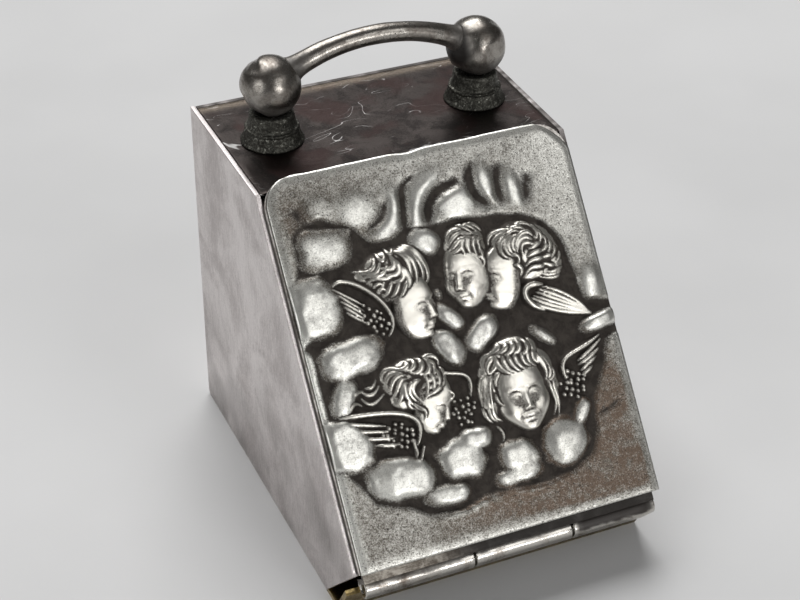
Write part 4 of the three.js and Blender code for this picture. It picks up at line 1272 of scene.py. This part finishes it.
def plaque():
    """The stamped face of the lid, as one closed sheet."""
    canvas, grime_and_shade, polish = relief()
    x, s, from_left, from_right, from_head, from_foot = plaque_places()
    open_edge = np.minimum(np.minimum(from_left, from_right), from_head)
    edge = round_corner(np.minimum(open_edge, from_foot), x, from_head)
    dent = HEAD_DENT * np.exp(-(((x - HEAD_DENT_X) / HEAD_DENT_HALF_WIDTH) ** 2))
    dent = dent + 0.05 * noise(x, 0 * x, 1.7, 15)
    s = s + np.clip(dent, 0, 1) * (1 - smooth(from_head, 0, 2.0))
    height = sample(canvas, x, s)
    z = height - rim(np.clip(open_edge, 0, None)) - FOOT_DROP * (1 - smooth(from_foot, 0, 0.5))
    top = from_lid(x, SLOPE_TOP - s, PLAQUE_BOTTOM + MARGIN_THICKNESS + np.clip(z, DEEPEST, None))
    faces, border = closed_below(*x.shape)
    under = from_lid(x, SLOPE_TOP - s, PLAQUE_BOTTOM).reshape(-1, 3)[border]
    # The wear layer holds the edges' bare metal and painted highlight; the grime layer holds the faces'
    # painted shade.
    layers = {"grime_and_shade": sample(grime_and_shade, x, s), "polish": sample(polish, x, s),
              "tarnish": tarnish(x, s, height, edge), "wear_and_sheen": shine(x, s, from_left, open_edge)}
    layers = {key: np.concatenate([values.ravel(), np.full(len(border), UNDERSIDE[key])])
              for key, values in layers.items()}
    points = np.concatenate([top.reshape(-1, 3), under])
    piece = make_piece("lid_plaque_stamped", points, faces, layers)
    place(piece, "lid", FACE, "lid_plaque")


# ---- stage ----

FLOOR_HALF_WIDTH_M = 1.5
CAMERA_AZIMUTH = -24.4
CAMERA_ELEVATION = 34.15
CAMERA_ROLL = 0.57
CAMERA_DISTANCE = 182.7
CAMERA_TARGET = (0.93, -0.2, 17.2)
CAMERA_LENS = 87.8
CAMERA_SHIFT = (-0.026, 0.006)
SENSOR_WIDTH = 36.0
CLIP_START_M = 0.01
LIGHT_TARGET = (0, 0, 15)
ROOM_COLOUR = (1.0, 0.99, 0.98, 1)
ROOM_STRENGTH = 0.09

# Soft boxes: name, place, size and power in watts.
SOFT_BOXES = (
    ("overhead", (60, 640, 1080), (950, 950), 16.0),
    ("front_card", (250, -520, 450), (420, 300), 0.85),
    ("left_card", (-620, -260, 260), (420, 420), 0.9),
    ("low_card", (160, -620, 130), (160, 110), 0.8),
)


def floor():
    """A plain pale table top."""
    mesh = bpy.data.meshes.new("floor")
    corners = [(-1, -1), (1, -1), (1, 1), (-1, 1)]
    points = [(x * FLOOR_HALF_WIDTH_M, y * FLOOR_HALF_WIDTH_M, 0) for x, y in corners]
    mesh.from_pydata(points, [], [(0, 1, 2, 3)])
    piece = bpy.data.objects.new("floor", mesh)
    bpy.context.scene.collection.objects.link(piece)
    g = Graph("table_paper")
    tone = g.step(g.noise(40.0, 3.0, 0.5), 0.3, 0.7)
    colour = g.mix(tone, (0.60, 0.60, 0.60), (0.64, 0.64, 0.64))
    g.finish(colour, 0.9, 0.0, g.bump(g.noise(0.4, 3.0, 0.6), 0.01))
    cover(piece, g.material)


def aim(thing, place_mm, target_mm, roll_degrees=0.0):
    """Puts a light or camera at a place and points it at a target."""
    eye = Vector(place_mm) * MM
    direction = Vector(target_mm) * MM - eye
    turn = direction.to_track_quat("-Z", "Y").to_matrix().to_4x4()
    roll = Matrix.Rotation(math.radians(roll_degrees), 4, "Z")
    thing.matrix_world = Matrix.Translation(eye) @ turn @ roll


def soft_box(name, place_mm, size_mm, watts):
    """A square light that looks at the box."""
    data = bpy.data.lights.new(name, "AREA")
    data.shape = "RECTANGLE"
    data.size, data.size_y = (value * MM for value in size_mm)
    data.energy = watts
    lamp = bpy.data.objects.new(name, data)
    bpy.context.scene.collection.objects.link(lamp)
    aim(lamp, place_mm, LIGHT_TARGET)


def camera():
    """The camera, placed by its angles round the box and its distance."""
    azimuth, elevation = math.radians(CAMERA_AZIMUTH), math.radians(CAMERA_ELEVATION)
    level = math.cos(elevation)
    back = Vector((math.sin(azimuth) * level, -math.cos(azimuth) * level, math.sin(elevation)))
    data = bpy.data.cameras.new("camera")
    data.lens = CAMERA_LENS
    data.sensor_width = SENSOR_WIDTH
    data.shift_x, data.shift_y = CAMERA_SHIFT
    data.clip_start = CLIP_START_M
    eye = bpy.data.objects.new("camera", data)
    bpy.context.scene.collection.objects.link(eye)
    aim(eye, Vector(CAMERA_TARGET) + back * CAMERA_DISTANCE, CAMERA_TARGET, CAMERA_ROLL)
    bpy.context.scene.camera = eye


def world():
    """Even, soft room light."""
    room = bpy.data.worlds.new("room")
    room.use_nodes = True
    background = room.node_tree.nodes["Background"]
    background.inputs["Color"].default_value = ROOM_COLOUR
    background.inputs["Strength"].default_value = ROOM_STRENGTH
    bpy.context.scene.world = room


# ---- the whole box ----

# The left panel's edges are worn bright; the right panel's edges carry painted shade.
side_panel("left_side_panel", -1, seed=11, wear_and_painted_light=0.12)
side_panel("right_side_panel", 1, seed=21, wear_and_painted_light=-0.7)
back_panel()
top_plate()

left_centre = ball(-1, "left")
right_centre = ball(1, "right")
collar("left", left_centre)
collar("right", right_centre)
handle_bar(left_centre, right_centre)

knuckle("hinge_knuckle_left", "body", 81, dirt_and_shade=0.65, dirt_and_shade_from=0.45)
knuckle("hinge_knuckle_middle", "lid", 84, dirt_and_shade=0.8, dirt_and_shade_from=0.60)
knuckle("hinge_knuckle_right", "body", 87, dirt_and_shade=1.0, dirt_and_shade_from=-0.10, pinch=0.18)
plaque()

for node, material in (
    ("lid_backing_plate", LID_BACK),
    ("lid_bezel", GILT),
    ("lid_hinge_leaf", LEAF),
    ("base_plate", TOE),
    ("hinge_pin", HINGE),
    ("handle_peg_left", HANDLE),
    ("handle_peg_right", HANDLE),
):
    for slot in frame["nodes"][node].material_slots:
        slot.material = material

bpy.context.scene.view_settings.view_transform = "Standard"
floor()
world()
for box in SOFT_BOXES:
    soft_box(*box)
camera()
